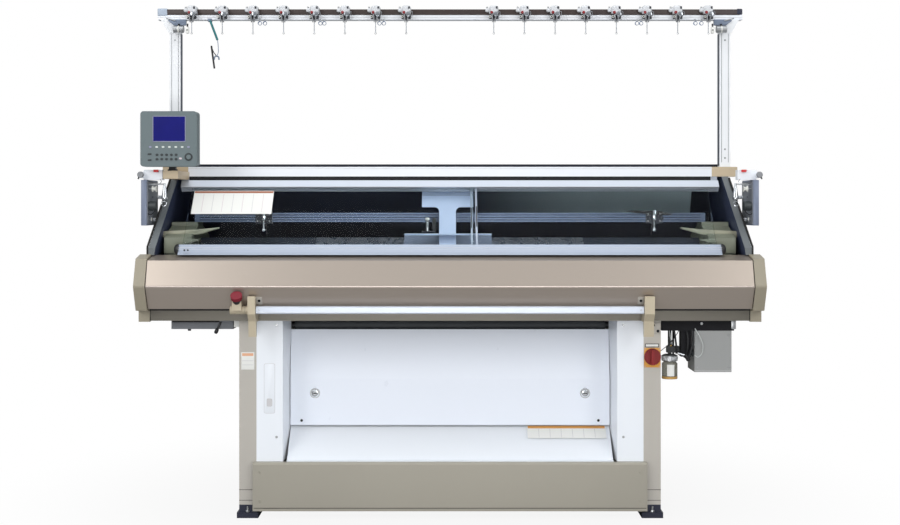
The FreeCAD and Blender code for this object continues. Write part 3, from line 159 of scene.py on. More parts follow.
def shader_group(name, inputs, outputs):
    """An empty shader node group with its named sockets, and its two end nodes."""
    tree = bpy.data.node_groups.new(name, "ShaderNodeTree")
    for label, kind, value in inputs:
        socket = tree.interface.new_socket(name=label, in_out="INPUT", socket_type=kind)
        socket.default_value = value
    for label, kind in outputs:
        tree.interface.new_socket(name=label, in_out="OUTPUT", socket_type=kind)
    return tree, tree.nodes.new("NodeGroupInput"), tree.nodes.new("NodeGroupOutput")


def maths(tree, work, first, second):
    """One arithmetic node; each side is a number or another node's output."""
    node = tree.nodes.new("ShaderNodeMath")
    node.operation = work
    for socket, value in zip(node.inputs, (first, second)):
        if isinstance(value, (int, float)):
            socket.default_value = value
        else:
            tree.links.new(value, socket)
    return node.outputs["Value"]


def noise(tree, place, scale, detail):
    """Cloudy noise from 0 to 1 over the surface."""
    node = tree.nodes.new("ShaderNodeTexNoise")
    node.inputs["Detail"].default_value = detail
    tree.links.new(place, node.inputs["Vector"])
    if isinstance(scale, (int, float)):
        node.inputs["Scale"].default_value = scale
    else:
        tree.links.new(scale, node.inputs["Scale"])
    return node.outputs["Fac"]


def toned(tree, colour, amount, cloud):
    """A colour made lighter and darker by a cloud that lies around one half."""
    swing = maths(tree, "MULTIPLY", maths(tree, "SUBTRACT", cloud, 0.5), amount)
    node = tree.nodes.new("ShaderNodeVectorMath")
    node.operation = "SCALE"
    tree.links.new(colour, node.inputs[0])
    tree.links.new(maths(tree, "ADD", swing, 1.0), node.inputs["Scale"])
    return node.outputs["Vector"]


def relief(tree, height, strength, depth):
    """A normal raised by a height over the surface."""
    node = tree.nodes.new("ShaderNodeBump")
    node.inputs["Distance"].default_value = depth
    tree.links.new(strength, node.inputs["Strength"])
    tree.links.new(height, node.inputs["Height"])
    return node.outputs["Normal"]


# The skin of sprayed or powder paint: slow drifts of tone, fine orange peel, uneven gloss.
skin_inputs = (
    ("Colour", "NodeSocketColor", (0.5, 0.5, 0.5, 1.0)),
    ("Tone Drift", "NodeSocketFloat", 0.08),
    ("Drift Scale", "NodeSocketFloat", 2.5),
    ("Roughness", "NodeSocketFloat", 0.4),
    ("Gloss Drift", "NodeSocketFloat", 0.12),
    ("Peel", "NodeSocketFloat", 0.15),
    ("Peel Scale", "NodeSocketFloat", 420.0),
)
skin_outputs = (
    ("Colour", "NodeSocketColor"),
    ("Roughness", "NodeSocketFloat"),
    ("Normal", "NodeSocketVector"),
)
paint_skin, skin_in, skin_out = shader_group("paint_skin", skin_inputs, skin_outputs)
skin_place = paint_skin.nodes.new("ShaderNodeTexCoord").outputs["Object"]
skin_drift = noise(paint_skin, skin_place, skin_in.outputs["Drift Scale"], 4.0)
skin_gloss = noise(paint_skin, skin_place, 23.0, 3.0)
skin_peel = noise(paint_skin, skin_place, skin_in.outputs["Peel Scale"], 2.0)
skin_colour = toned(paint_skin, skin_in.outputs["Colour"], skin_in.outputs["Tone Drift"], skin_drift)
skin_swing = maths(
    paint_skin, "MULTIPLY", maths(paint_skin, "SUBTRACT", skin_gloss, 0.5),
    skin_in.outputs["Gloss Drift"],
)
skin_rough = maths(paint_skin, "ADD", skin_in.outputs["Roughness"], skin_swing)
skin_normal = relief(paint_skin, skin_peel, skin_in.outputs["Peel"], 0.0004)
paint_skin.links.new(skin_colour, skin_out.inputs["Colour"])
paint_skin.links.new(skin_rough, skin_out.inputs["Roughness"])
paint_skin.links.new(skin_normal, skin_out.inputs["Normal"])


def surface(name, effect, settings, metallic=0.0):
    """A material whose colour, gloss and relief come from one shared effect."""
    material = bpy.data.materials.new(name)
    material.use_nodes = True
    tree = material.node_tree
    shader = tree.nodes["Principled BSDF"]
    shader.inputs["Metallic"].default_value = metallic
    group = tree.nodes.new("ShaderNodeGroup")
    group.node_tree = effect
    for label, value in settings.items():
        group.inputs[label.replace("_", " ").title()].default_value = value
    tree.links.new(group.outputs["Colour"], shader.inputs["Base Color"])
    tree.links.new(group.outputs["Roughness"], shader.inputs["Roughness"])
    tree.links.new(group.outputs["Normal"], shader.inputs["Normal"])
    return material


def painted(name, colour, roughness=0.4, metallic=0.0, **more):
    """A sprayed finish."""
    return surface(
        name, paint_skin, {"colour": linear(*colour), "roughness": roughness, **more}, metallic,
    )


def finish(node, material, edge=0.0, steps=2):
    """Gives a node its material and, where its edges are folded or rubbed, a small round."""
    piece = nodes[node]
    for place in piece.material_slots:
        place.material = material
    if edge:
        soft = piece.modifiers.new("soft_edges", "BEVEL")
        soft.width = edge
        soft.segments = steps
        soft.limit_method = "ANGLE"
        soft.angle_limit = math.radians(30)
        soft.harden_normals = True
    return piece


class Piece:
    """Gathers the shapes of one piece, each in its own material, and makes them one object."""

    def __init__(self, name):
        self.name = name
        self.whole = bmesh.new()
        self.materials = []

    def take(self, shape, material, smooth=True):
        """Adds a finished shape."""
        if material not in self.materials:
            self.materials.append(material)
        for face in shape.faces:
            face.material_index = self.materials.index(material)
            face.smooth = smooth
        carrier = bpy.data.meshes.new("carrier")
        shape.to_mesh(carrier)
        shape.free()
        self.whole.from_mesh(carrier)
        bpy.data.meshes.remove(carrier)

    def block(self, low, high, material, edge=0.001, steps=2, turn=None):
        """A block between two corners, with rounded edges; turn is (matrix, pivot)."""
        shape = bmesh.new()
        bmesh.ops.create_cube(shape, size=1.0)
        low, high = Vector(low), Vector(high)
        for corner in shape.verts:
            corner.co = Vector(low[i] + (corner.co[i] + 0.5) * (high[i] - low[i]) for i in range(3))
        if edge:
            bmesh.ops.bevel(
                shape, geom=list(shape.edges), offset=edge, segments=steps, affect="EDGES", profile=0.5
            )
        if turn:
            bmesh.ops.rotate(shape, verts=shape.verts, cent=turn[1], matrix=turn[0])
        self.take(shape, material)

    def turned(self, start, along, profile, material, around=32):
        """A lathe shape: (distance, radius) pairs along a line from start."""
        axis = Vector(along).normalized()
        side = axis.orthogonal().normalized()
        other = axis.cross(side)
        shape = bmesh.new()
        rings = []
        for distance, radius in profile:
            middle = Vector(start) + axis * distance
            if radius <= 0.0:
                rings.append([shape.verts.new(middle)])
                continue
            angles = [2 * math.pi * i / around for i in range(around)]
            rings.append(
                [
                    shape.verts.new(middle + (side * math.cos(a) + other * math.sin(a)) * radius)
                    for a in angles
                ]
            )
        for near, far in zip(rings, rings[1:]):
            for i in range(around):
                ring = [
                    near[i % len(near)], near[(i + 1) % len(near)], far[(i + 1) % len(far)],
                    far[i % len(far)],
                ]
                corners = list(dict.fromkeys(ring))
                if len(corners) > 2:
                    shape.faces.new(corners)
        for ring, flip in ((rings[0], True), (rings[-1], False)):
            if len(ring) > 1:
                shape.faces.new(ring[::-1] if flip else ring)
        bmesh.ops.recalc_face_normals(shape, faces=shape.faces)
        self.take(shape, material)

    def rod(self, start, end, radius, material, around=20, edge=None):
        """A round bar with broken edges."""
        length = (Vector(end) - Vector(start)).length
        edge = min(radius, length) * 0.2 if edge is None else edge
        profile = [(0.0, radius - edge), (edge, radius), (length - edge, radius), (length, radius - edge)]
        self.turned(start, Vector(end) - Vector(start), profile, material, around)

    def wire(self, points, radius, material, around=8, steps=6, closed=False):
        """A round wire, tube or lead on a smooth line through its points."""
        points = [Vector(p) for p in points]
        count = len(points)
        line = []
        for i in range(count if closed else count - 1):
            if closed:
                before, here, there, after = (points[(i + k) % count] for k in (-1, 0, 1, 2))
            else:
                here, there = points[i], points[i + 1]
                before = points[i - 1] if i else here * 2 - there
                after = points[i + 2] if i + 2 < count else there * 2 - here
            for k in range(steps):
                u = k / steps
                line.append(0.5 * (
                    2 * here + (there - before) * u
                    + (2 * before - 5 * here + 4 * there - after) * u ** 2
                    + (3 * here - before - 3 * there + after) * u ** 3
                ))
        if not closed:
            line.append(points[-1])
        shape = bmesh.new()
        side = (line[1] - line[0]).orthogonal().normalized()
        rings = []
        for i, middle in enumerate(line):
            ahead = line[(i + 1) % len(line)] if closed or i + 1 < len(line) else middle
            behind = line[i - 1] if closed or i else middle
            along = (ahead - behind).normalized()
            side = (side - along * side.dot(along)).normalized()
            other = along.cross(side)
            angles = [2 * math.pi * k / around for k in range(around)]
            rings.append(
                [
                    shape.verts.new(middle + (side * math.cos(a) + other * math.sin(a)) * radius)
                    for a in angles
                ]
            )
        pairs = list(zip(rings, rings[1:]))
        if closed:
            pairs.append((rings[-1], rings[0]))
        for near, far in pairs:
            for k in range(around):
                shape.faces.new((near[k], near[(k + 1) % around], far[(k + 1) % around], far[k]))
        if not closed:
            shape.faces.new(rings[0][::-1])
            shape.faces.new(rings[-1])
        bmesh.ops.recalc_face_normals(shape, faces=shape.faces)
        self.take(shape, material)

    def plate(self, outline, thickness, material, edge=0.0004):
        """A flat plate: its outline's corners in space, thickened away from their normal."""
        shape = bmesh.new()
        face = shape.faces.new([shape.verts.new(Vector(p)) for p in outline])
        face.normal_update()
        inward = face.normal * -thickness
        raised = bmesh.ops.extrude_face_region(shape, geom=[face])
        moved = [v for v in raised["geom"] if isinstance(v, bmesh.types.BMVert)]
        bmesh.ops.translate(shape, verts=moved, vec=inward)
        bmesh.ops.recalc_face_normals(shape, faces=shape.faces)
        if edge:
            bmesh.ops.bevel(
                shape, geom=list(shape.edges), offset=edge, segments=2, affect="EDGES", profile=0.5,
                clamp_overlap=True,
            )
        self.take(shape, material)

    def done(self, body="frame", sharp=35):
        """Makes the object and lets it ride on its body."""
        mesh = bpy.data.meshes.new(self.name)
        self.whole.to_mesh(mesh)
        self.whole.free()
        for material in self.materials:
            mesh.materials.append(material)
        mesh.set_sharp_from_angle(angle=math.radians(sharp))
        made = bpy.data.objects.new(self.name, mesh)
        bpy.context.scene.collection.objects.link(made)
        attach(made, body)
        return made


beige_paint = painted("beige_enamel", (165, 160, 148), 0.42, 0.35)
leg_paint = painted("leg_enamel", (186, 181, 173), 0.48, 0.15)
finish("left_leg", leg_paint, 0.0025)
finish("right_leg", leg_paint, 0.0025)
finish("plinth", beige_paint, 0.002, 3)

# A near black that stands for the shade in seams, grooves and gaps: painted shadow.
painted_seam_shadow = painted("seam_shadow", (22, 22, 24), 0.7)
black_steel = painted("blackened_steel", (28, 29, 32), 0.35, 0.6)
# A near black that stands for the shade inside slots, vents and holes: painted shade.
painted_hollow_shade = painted("painted_hollow_shade", (8, 8, 9), 0.8)


def cap_screw(piece, place, facing, radius=0.005, material=black_steel):
    """A socket-head screw seen end on, sunk a little into its face."""
    facing = Vector(facing).normalized()
    start = Vector(place) - facing * 0.001
    height = radius * 0.55
    profile = [
        (0.0, radius), (height * 0.75, radius), (height, radius * 0.85),
        (height, radius * 0.5), (height * 0.4, radius * 0.45), (height * 0.4, 0.0),
    ]
    piece.turned(start, facing, profile, material, 16)


# The pressed grooves are drawn as thin black strips round each leg: painted shade in the grooves.
groove_heights = (0.076, 0.122)
leg_low, leg_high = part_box("left_leg")
for label, side in (("left", -1), ("right", 1)):
    low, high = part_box(label + "_leg")
    grooves = Piece(label + "_leg_grooves")
    for height in groove_heights:
        span = (
            (low.x - 0.0004, low.y - 0.0004, height - 0.001),
            (high.x + 0.0004, low.y + 0.0006, height + 0.001),
        )
        grooves.block(*span, painted_seam_shadow, 0)
        for x in (low.x, high.x):
            grooves.block(
                (x - 0.0004, low.y, height - 0.001), (x + 0.0004, high.y, height + 0.001), painted_seam_shadow, 0,
            )
    grooves.done()

label_white = painted("label_card", (236, 236, 232), 0.5, peel=0.02)
label_peach = painted("label_peach", (232, 176, 140), 0.5, peel=0.02)
# A light grey for print on labels, also used for thin lines that are painted shade in grooves and gaps.
print_grey_and_groove_shade = painted("print_grey_and_groove_shade", (205, 203, 205), 0.55, peel=0.02)
plate_x = (leg_low.x + 0.009, leg_high.x - 0.009)
plate_z = (0.646, 0.722)
rating = Piece("leg_blank_label")
rating.block(
    (plate_x[0], leg_low.y - 0.0008, plate_z[0]), (plate_x[1], leg_low.y + 0.0004, plate_z[1]),
    label_white, 0.0003,
)
rating.block(
    (plate_x[0] + 0.004, leg_low.y - 0.0012, plate_z[1] - 0.016),
    (plate_x[1] - 0.004, leg_low.y, plate_z[1] - 0.004), label_peach, 0,
)
for height in (plate_z[0] + 0.02, plate_z[0] + 0.038):
    rating.block(
        (plate_x[0] + 0.004, leg_low.y - 0.001, height), (plate_x[1] - 0.004, leg_low.y, height + 0.0018),
        print_grey_and_groove_shade, 0,
    )
rating.done()

plinth_low, plinth_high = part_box("plinth")
to_front = (0, -1, 0)
plinth_trim = Piece("plinth_trim")
for x in (plinth_low.x + 0.03, plinth_high.x - 0.03):
    for z in (plinth_low.z + 0.045, plinth_high.z - 0.04):
        cap_screw(plinth_trim, (x, plinth_low.y, z), to_front, 0.006, beige_paint)
# A thin black line across the plinth near its foot is painted shade.
plinth_trim.block(
    (plinth_low.x + 0.004, plinth_low.y - 0.0006, plinth_low.z + 0.012),
    (plinth_high.x - 0.004, plinth_low.y + 0.001, plinth_low.z + 0.0145), painted_seam_shadow, 0,
)
plinth_trim.done()

# ---- Levelling feet --------------------------------------------------------------------------
# Four cast iron pads painted dark blue-grey, each under the end of a leg, with a steel
# jacking screw and a lock nut that set the machine level.
foot_paint = painted("foot_cast_paint", (38, 41, 58), 0.5, 0.2, peel=0.5, peel_scale=160.0)
zinc = painted("zinc_plate", (176, 178, 180), 0.32, 0.9)
finish("levelling_feet", foot_paint, 0.003)
foot_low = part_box("levelling_feet")[0]
upward = (0, 0, 1)
jacks = Piece("jacking_screws")
for side in (-1, 1):
    for end in (-1, 1):
        middle = Vector((side * (leg_high.x + leg_low.x) / -2, end * 0.266, 0.0))
        middle.y = end * (abs(foot_low.y) - 0.006)
        jacks.rod(middle + Vector((0, 0, 0.004)), middle + Vector((0, 0, 0.05)), 0.005, zinc)
        jacks.turned(
            middle + Vector((0, 0, 0.026)), upward, [(0, 0.0085), (0.007, 0.0085), (0.008, 0.0078)], zinc,
            6,
        )
jacks.done()

# ---- Front panels, hatch and chute panel -----------------------------------------------------
# White enamelled sheet, folded back along its inner edges. The chute panel between the side
# panels leans in at the top to take the fabric, and is held by two quarter-turn locks and
# two screws, so that it lifts out for cleaning. A narrow service hatch sits on the left.
white_enamel = painted("white_enamel", (240, 244, 250), 0.34, 0.0, tone_drift=0.03, peel=0.08)
chute_enamel = painted("chute_enamel", (236, 241, 251), 0.3, 0.0, tone_drift=0.03, peel=0.08)
chrome = painted("bright_chrome", (205, 208, 212), 0.12, 1.0, peel=0.0)
finish("front_panels", white_enamel, 0.0015)
finish("chute_panel", chute_enamel, 0.0015)
finish("fabric_tray", white_enamel, 0.0015)

panel_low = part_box("front_panels")[0]
chute_low, chute_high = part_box("chute_panel")
hatch_x = (panel_low.x + 0.033, panel_low.x + 0.081)
hatch_z = (0.455, 0.673)
hatch_face = panel_low.y


def rounded_outline(left, right, low, high, radius, y, steps=6):
    """Corners of a round-cornered rectangle in a plane that faces the operator."""
    corners = ((right, low, -90), (right, high, 0), (left, high, 90), (left, low, 180))
    points = []
    for x, z, start in corners:
        middle_x = x - radius if x == right else x + radius
        middle_z = z - radius if z == high else z + radius
        for i in range(steps + 1):
            angle = math.radians(start + 90 * i / steps)
            points.append((middle_x + radius * math.cos(angle), y, middle_z + radius * math.sin(angle)))
    return points


hatch = Piece("service_hatch")
lid_gap = 0.0015
rim = rounded_outline(hatch_x[0], hatch_x[1], hatch_z[0], hatch_z[1], 0.008, hatch_face - 0.0003)
lid = rounded_outline(
    hatch_x[0] + lid_gap, hatch_x[1] - lid_gap, hatch_z[0] + lid_gap, hatch_z[1] - lid_gap, 0.007,
    hatch_face - 0.0016,
)
dip = rounded_outline(
    hatch_x[0] + 0.012, hatch_x[1] - 0.012, hatch_z[0] + 0.03, hatch_z[0] + 0.065, 0.006,
    hatch_face - 0.002,
)
# The grey rim round the lid and the grey finger dip are painted shade in the gap and the recess.
hatch.plate(rim, 0.001, print_grey_and_groove_shade, 0)
hatch.plate(lid, 0.0012, white_enamel, 0.0005)
hatch.plate(dip, 0.0006, print_grey_and_groove_shade, 0)
hatch.done()

panel_screws = Piece("panel_screws")
for side in (-1, 1):
    for z in (0.352, 0.84):
        cap_screw(panel_screws, (side * 0.757, panel_low.y, z), to_front, 0.0055, zinc)
    cap_screw(
        panel_screws, (side * (chute_high.x - 0.05), chute_low.y, chute_low.z + 0.02), to_front, 0.006,
    )
panel_screws.done()

for label in ("left", "right"):
    node = label + "_panel_lock"
    finish(node, chrome, 0.0008)
    low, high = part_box(node)
    middle = (low + high) / 2
    lock = Piece(label + "_lock_face")
    face_y = low.y
    lock.turned(
        (middle.x, face_y, middle.z), to_front,
        [(0.0, 0.0135), (0.0008, 0.0135), (0.0012, 0.011), (0.0006, 0.0105), (0.0006, 0.0)], chrome, 32,
    )
    # The black bar across the lock's face is its key slot, drawn as painted shade.
    lock.block(
        (middle.x - 0.0095, face_y - 0.0014, middle.z - 0.0018),
        (middle.x + 0.0095, face_y - 0.0002, middle.z + 0.0018), painted_hollow_shade, 0.0004,
    )
    lock.done(label + "_lock")
    washer = Piece(label + "_lock_ring")
    washer.turned(
        (middle.x, chute_low.y + 0.0002, middle.z), to_front,
        [(0.0, 0.0188), (0.0, 0.023), (0.001, 0.0225), (0.001, 0.0188), (0.0, 0.0188)], zinc, 40,
    )
    washer.done()

tray_low, tray_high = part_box("fabric_tray")
tray_rise = Vector((0, tray_high.y - tray_low.y, tray_high.z - tray_low.z)).normalized()
tray_out = Vector((0, -tray_rise.z, tray_rise.y))
tray_seat = Vector((0.0, tray_low.y, tray_low.z)) + tray_out * 0.003


def on_tray(x, along, out):
    """A point of the sloping tray: up its slope from the front edge, and out of its face."""
    return Vector((x, 0.0, 0.0)) + tray_seat + tray_rise * along + tray_out * out


card = Piece("tray_blank_label")


def tray_patch(left, right, low, high, out, thick, material):
    """A flat strip that lies on the tray's card."""
    corners = ((left, low), (right, low), (right, high), (left, high))
    card.plate([on_tray(x, along, out) for x, along in corners], thick, material, 0)


tray_card_left, tray_card_right, column_pitch, rule_width = 0.345, 0.695, 0.05, 0.0018
tray_patch(tray_card_left, tray_card_right, 0.13, 0.205, 0.0012, 0.0012, label_white)
amber_print = painted("label_amber", (222, 160, 92), 0.5, peel=0.02)
tray_patch(tray_card_left + 0.003, tray_card_right - 0.003, 0.187, 0.202, 0.0016, 0.0006, amber_print)
for column in range(1, 7):
    left = tray_card_left + column * column_pitch
    tray_patch(left, left + rule_width, 0.134, 0.184, 0.0015, 0.0004, print_grey_and_groove_shade)
card.done()

# ---- Rear panel ------------------------------------------------------------------------------
# One large sheet closes the stand behind, in the leg's enamel. It has two groups of pressed
# cooling slots and a row of screws along each side.
finish("rear_panel", leg_paint, 0.001)
back_low, back_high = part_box("rear_panel")
to_back = (0, 1, 0)
back_trim = Piece("rear_panel_trim")
for side in (-1, 1):
    for row in range(9):
        z = 0.3 + row * 0.022
        x = side * 0.48
        # Each cooling slot is a black strip of painted shade under a raised lip.
        back_trim.block(
            (x - 0.14, back_high.y - 0.0006, z), (x + 0.14, back_high.y + 0.0003, z + 0.007),
            painted_hollow_shade, 0,
        )
        back_trim.block(
            (x - 0.143, back_high.y - 0.0002, z + 0.007), (x + 0.143, back_high.y + 0.003, z + 0.0095),
            leg_paint, 0.0008,
        )
    for row in range(4):
        z = back_low.z + 0.04 + row * (back_high.z - back_low.z - 0.08) / 3
        cap_screw(back_trim, (side * (back_high.x - 0.022), back_high.y, z), to_back, 0.006, zinc)
back_trim.done()

# ---- Front cover and skirt -------------------------------------------------------------------
# The long front cover is one folded sheet with a champagne metallic coat, bent round a soft
# ridge; a paler strip painted along the ridge is its highlight. Under its seam hangs the skirt
# strip of the same sheet, in a darker copy of the coat that is painted shade. Black strips along
# the seams are painted shadow. Rolled sheet keeps a faint grain along its length, which the coat
# follows.
grain_inputs = (
    ("Colour", "NodeSocketColor", (0.5, 0.5, 0.5, 1.0)),
    ("Tone Drift", "NodeSocketFloat", 0.06),
    ("Stretch", "NodeSocketVector", (1.0, 60.0, 60.0)),
    ("Grain Scale", "NodeSocketFloat", 12.0),
    ("Roughness", "NodeSocketFloat", 0.3),
    ("Gloss Drift", "NodeSocketFloat", 0.1),
    ("Depth", "NodeSocketFloat", 0.1),
)
drawn_grain, grain_in, grain_out = shader_group("drawn_grain", grain_inputs, skin_outputs)
grain_place = drawn_grain.nodes.new("ShaderNodeVectorMath")
grain_place.operation = "MULTIPLY"
drawn_grain.links.new(
    drawn_grain.nodes.new("ShaderNodeTexCoord").outputs["Object"], grain_place.inputs[0],
)
drawn_grain.links.new(grain_in.outputs["Stretch"], grain_place.inputs[1])
grain_lines = noise(drawn_grain, grain_place.outputs["Vector"], grain_in.outputs["Grain Scale"], 3.0)
grain_colour = toned(drawn_grain, grain_in.outputs["Colour"], grain_in.outputs["Tone Drift"], grain_lines)
grain_swing = maths(
    drawn_grain, "MULTIPLY", maths(drawn_grain, "SUBTRACT", grain_lines, 0.5),
    grain_in.outputs["Gloss Drift"],
)
drawn_grain.links.new(grain_colour, grain_out.inputs["Colour"])
drawn_grain.links.new(
    maths(drawn_grain, "ADD", grain_in.outputs["Roughness"], grain_swing), grain_out.inputs["Roughness"],
)
drawn_grain.links.new(
    relief(drawn_grain, grain_lines, grain_in.outputs["Depth"], 0.0003), grain_out.inputs["Normal"],
)


def drawn(name, colour, roughness, metallic, **more):
    """Metal or coated sheet with a grain along its length."""
    return surface(
        name, drawn_grain, {"colour": linear(*colour), "roughness": roughness, **more}, metallic,
    )


champagne = drawn("champagne_coat", (184, 172, 161), 0.36, 0.72, tone_drift=0.05, depth=0.08)
# The skirt is the same sheet as the cover, in a darker copy of its coat: painted shade.
skirt_shaded_coat = drawn("skirt_shaded_coat", (110, 106, 97), 0.4, 0.5, tone_drift=0.05, depth=0.08)
finish("front_cover", champagne, 0.002, 3)
cover_low, cover_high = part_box("front_cover")
cover_left, cover_right = cover_low.x + 0.001, cover_high.x - 0.001
cover_seam = Piece("cover_seam")
# A black strip under the cover's lower fold: painted shadow in the seam.
cover_seam.block((cover_left, -0.3118, 0.9062), (cover_right, -0.3098, 0.9132), painted_seam_shadow, 0)
# A paler champagne strip along the ridge: a painted highlight on the fold.
fold_front, fold_back = (-0.4105, 1.0155), (-0.4045, 1.0215)
fold_highlight_paint = drawn("fold_painted_highlight", (226, 211, 204), 0.26, 0.6, tone_drift=0.03, depth=0.05)
fold = [
    Vector((cover_left, *fold_front)), Vector((cover_right, *fold_front)),
    Vector((cover_right, *fold_back)), Vector((cover_left, *fold_back)),
]
cover_seam.plate(fold, 0.0008, fold_highlight_paint, 0)
cover_seam.done()
finish("front_skirt", skirt_shaded_coat, 0.0015)
skirt_low, skirt_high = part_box("front_skirt")
cover_seam = Piece("cover_seam")
seam_z = skirt_high.z
# A black strip along the top of the skirt under the cover's edge: painted shadow.
cover_seam.block(
    (skirt_low.x + 0.002, skirt_low.y - 0.001, seam_z - 0.004),
    (skirt_high.x - 0.002, skirt_low.y + 0.01, seam_z - 0.0005), painted_seam_shadow, 0,
)
cover_seam.done()

# ---- End cheeks ------------------------------------------------------------------------------
# Each end of the cover is a hollow plastic moulding with a rounded nose, drawn in towards its
# foot, and clipped over the cover's end with a dark rubber bead in the joint.
cheek_plastic = painted(
    "cheek_plastic", (154, 146, 128), 0.42, 0.0, peel=0.35, peel_scale=700.0, tone_drift=0.04,
)
bead_rubber = painted("bead_rubber", (26, 24, 24), 0.75)
finish("cheeks", cheek_plastic, 0.012, 4)
cheek_bead = Piece("cheek_beads")
nose = [
    (cover_high.y - 0.008, cover_high.z - 0.002), (cover_low.y + 0.038, cover_high.z - 0.022),
    (cover_low.y - 0.001, 1.015), (cover_low.y + 0.05, 0.921), (cover_low.y + 0.098, 0.914),
    (cover_low.y + 0.098, 0.864),
]
for side in (-1, 1):
    for near, far in zip(nose, nose[1:]):
        bead_start = Vector((side * (cover_high.x + 0.0002), near[0], near[1]))
        bead_end = Vector((side * (cover_high.x + 0.0002), far[0], far[1]))
        cheek_bead.rod(bead_start, bead_end, 0.0026, bead_rubber, 8)
cheek_bead.done()

# ---- Window rails and top rail ---------------------------------------------------------------
# Extruded aluminium, clear anodised almost white. The lower rail holds both panes in two
# grooves and carries two cap screws near its left end; black plastic half rounds stop its
# ends. The top rail is a plain box tube between two moulded caps.
anodised = drawn(
    "pale_anodised", (158, 168, 184), 0.34, 0.35, tone_drift=0.03, depth=0.05, grain_scale=20.0,
)
black_plastic = painted("black_moulding", (24, 25, 27), 0.45, 0.0, peel=0.3, peel_scale=800.0)
bright_rail = drawn(
    "white_anodised", (238, 241, 247), 0.34, 0.2, tone_drift=0.02, depth=0.05, grain_scale=20.0,
)
finish("lower_window_rail", anodised, 0.001)
finish("upper_window_rail", drawn("mid_anodised", (196, 203, 214), 0.34, 0.35, depth=0.05), 0.001)
finish("top_rail", bright_rail, 0.001)
rail_low, rail_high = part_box("lower_window_rail")
rail_trim = Piece("lower_rail_trim")
# Two grey lines along the rail's face are painted shade in its grooves.
for height in (0.012, 0.019):
    z = rail_high.z - height
    rail_trim.block(
        (rail_low.x + 0.001, rail_low.y - 0.0003, z - 0.0006),
        (rail_high.x - 0.001, rail_low.y + 0.0006, z + 0.0006), print_grey_and_groove_shade, 0,
    )
for offset in (0.03, 0.045):
    cap_screw(rail_trim, (rail_low.x + offset, rail_low.y, rail_low.z + 0.022), to_front, 0.004)
rail_trim.done()
rail_stops = Piece("rail_end_stops")
for x, side in ((rail_low.x, -1), (rail_high.x, 1)):
    middle = (x, rail_low.y + 0.028, rail_low.z + 0.024)
    rail_stops.turned(
        middle, (side, 0, 0), [(0.0, 0.024), (0.006, 0.024), (0.013, 0.021), (0.018, 0.014), (0.02, 0.0)],
        black_plastic, 28,
    )
rail_stops.done()

cap_beige = painted("cap_moulding", (196, 178, 150), 0.45, 0.0, peel=0.3, peel_scale=700.0)
finish("rail_caps", cap_beige, 0.004, 3)
top_low, top_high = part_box("top_rail")
upper_low, upper_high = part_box("upper_window_rail")
rail_lines = Piece("top_rail_lines")
# A grey line along the top rail and one along the upper window rail are painted shade in grooves.
rail_lines.block(
    (top_low.x + 0.001, top_low.y - 0.0003, top_high.z - 0.009),
    (top_high.x - 0.001, top_low.y + 0.0006, top_high.z - 0.0075), print_grey_and_groove_shade, 0,
)
rail_lines.block(
    (upper_low.x + 0.002, upper_low.y - 0.0003, upper_low.z + 0.0215),
    (upper_high.x - 0.002, upper_low.y + 0.03, upper_low.z + 0.0225), print_grey_and_groove_shade, 0,
)
# A black strip across the upper rail's face below the top rail: painted shadow in the gap between the two
# rails.
rail_lines.block(
    (upper_low.x + 0.03, -0.0066, 1.472), (upper_high.x - 0.03, -0.0045, top_low.z + 0.001), painted_seam_shadow,
    0,
)
rail_lines.done()

# ---- Windows ---------------------------------------------------------------------------------
# Two clear polycarbonate panes slide past each other. Each has an aluminium strip down its
# leading edge with a finger ledge, and the left one carries a blank card.
window_tilt = math.radians(49)
pane_thick = 0.005
clear_pane = bpy.data.materials.new("clear_polycarbonate")
clear_pane.use_nodes = True
pane_tree = clear_pane.node_tree
pane_shader = pane_tree.nodes["Principled BSDF"]
pane_shader.inputs["Base Color"].default_value = (0.93, 0.97, 0.98, 1.0)
pane_shader.inputs["Transmission Weight"].default_value = 1.0
pane_shader.inputs["IOR"].default_value = 1.08
pane_place = pane_tree.nodes.new("ShaderNodeTexCoord").outputs["Object"]
pane_wipe = noise(pane_tree, pane_place, 6.0, 3.0)
pane_tree.links.new(maths(pane_tree, "MULTIPLY", pane_wipe, 0.03), pane_shader.inputs["Roughness"])
finish("left_window", clear_pane)
finish("right_window", clear_pane)


def on_pane(node, x, along, out):
    """A point of a pane: up its slope from its foot, and out of its front face."""
    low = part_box(node)[0]
    foot = Vector((x, low.y, low.z + pane_thick * math.cos(window_tilt)))
    slope = Vector((0.0, math.cos(window_tilt), math.sin(window_tilt)))
    outward = Vector((0.0, -math.sin(window_tilt), math.cos(window_tilt)))
    return foot + slope * along + outward * out


def pane_patch(piece, node, left, right, low, high, out, thick, material, edge=0.0):
    """A flat strip that lies on a pane."""
    corners = ((left, low), (right, low), (right, high), (left, high))
    piece.plate([on_pane(node, x, along, out) for x, along in corners], thick, material, edge)


strip_width = 0.009
for node, edge_x, inward, body in (
    ("left_window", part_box("left_window")[1].x, -1, "left_window_body"),
    ("right_window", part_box("right_window")[0].x, 1, "right_window_body"),
):
    strip = Piece(node + "_edge_strip")
    ends = sorted((edge_x, edge_x + inward * strip_width))
    pane_patch(strip, node, ends[0], ends[1], 0.016, 0.352, 0.0018, 0.0017, anodised, 0.0004)
    ledge = sorted((edge_x + inward * 0.001, edge_x + inward * 0.006))
    pane_patch(strip, node, ledge[0], ledge[1], 0.12, 0.24, 0.0024, 0.0008, black_plastic, 0.0002)
    strip.done(body)

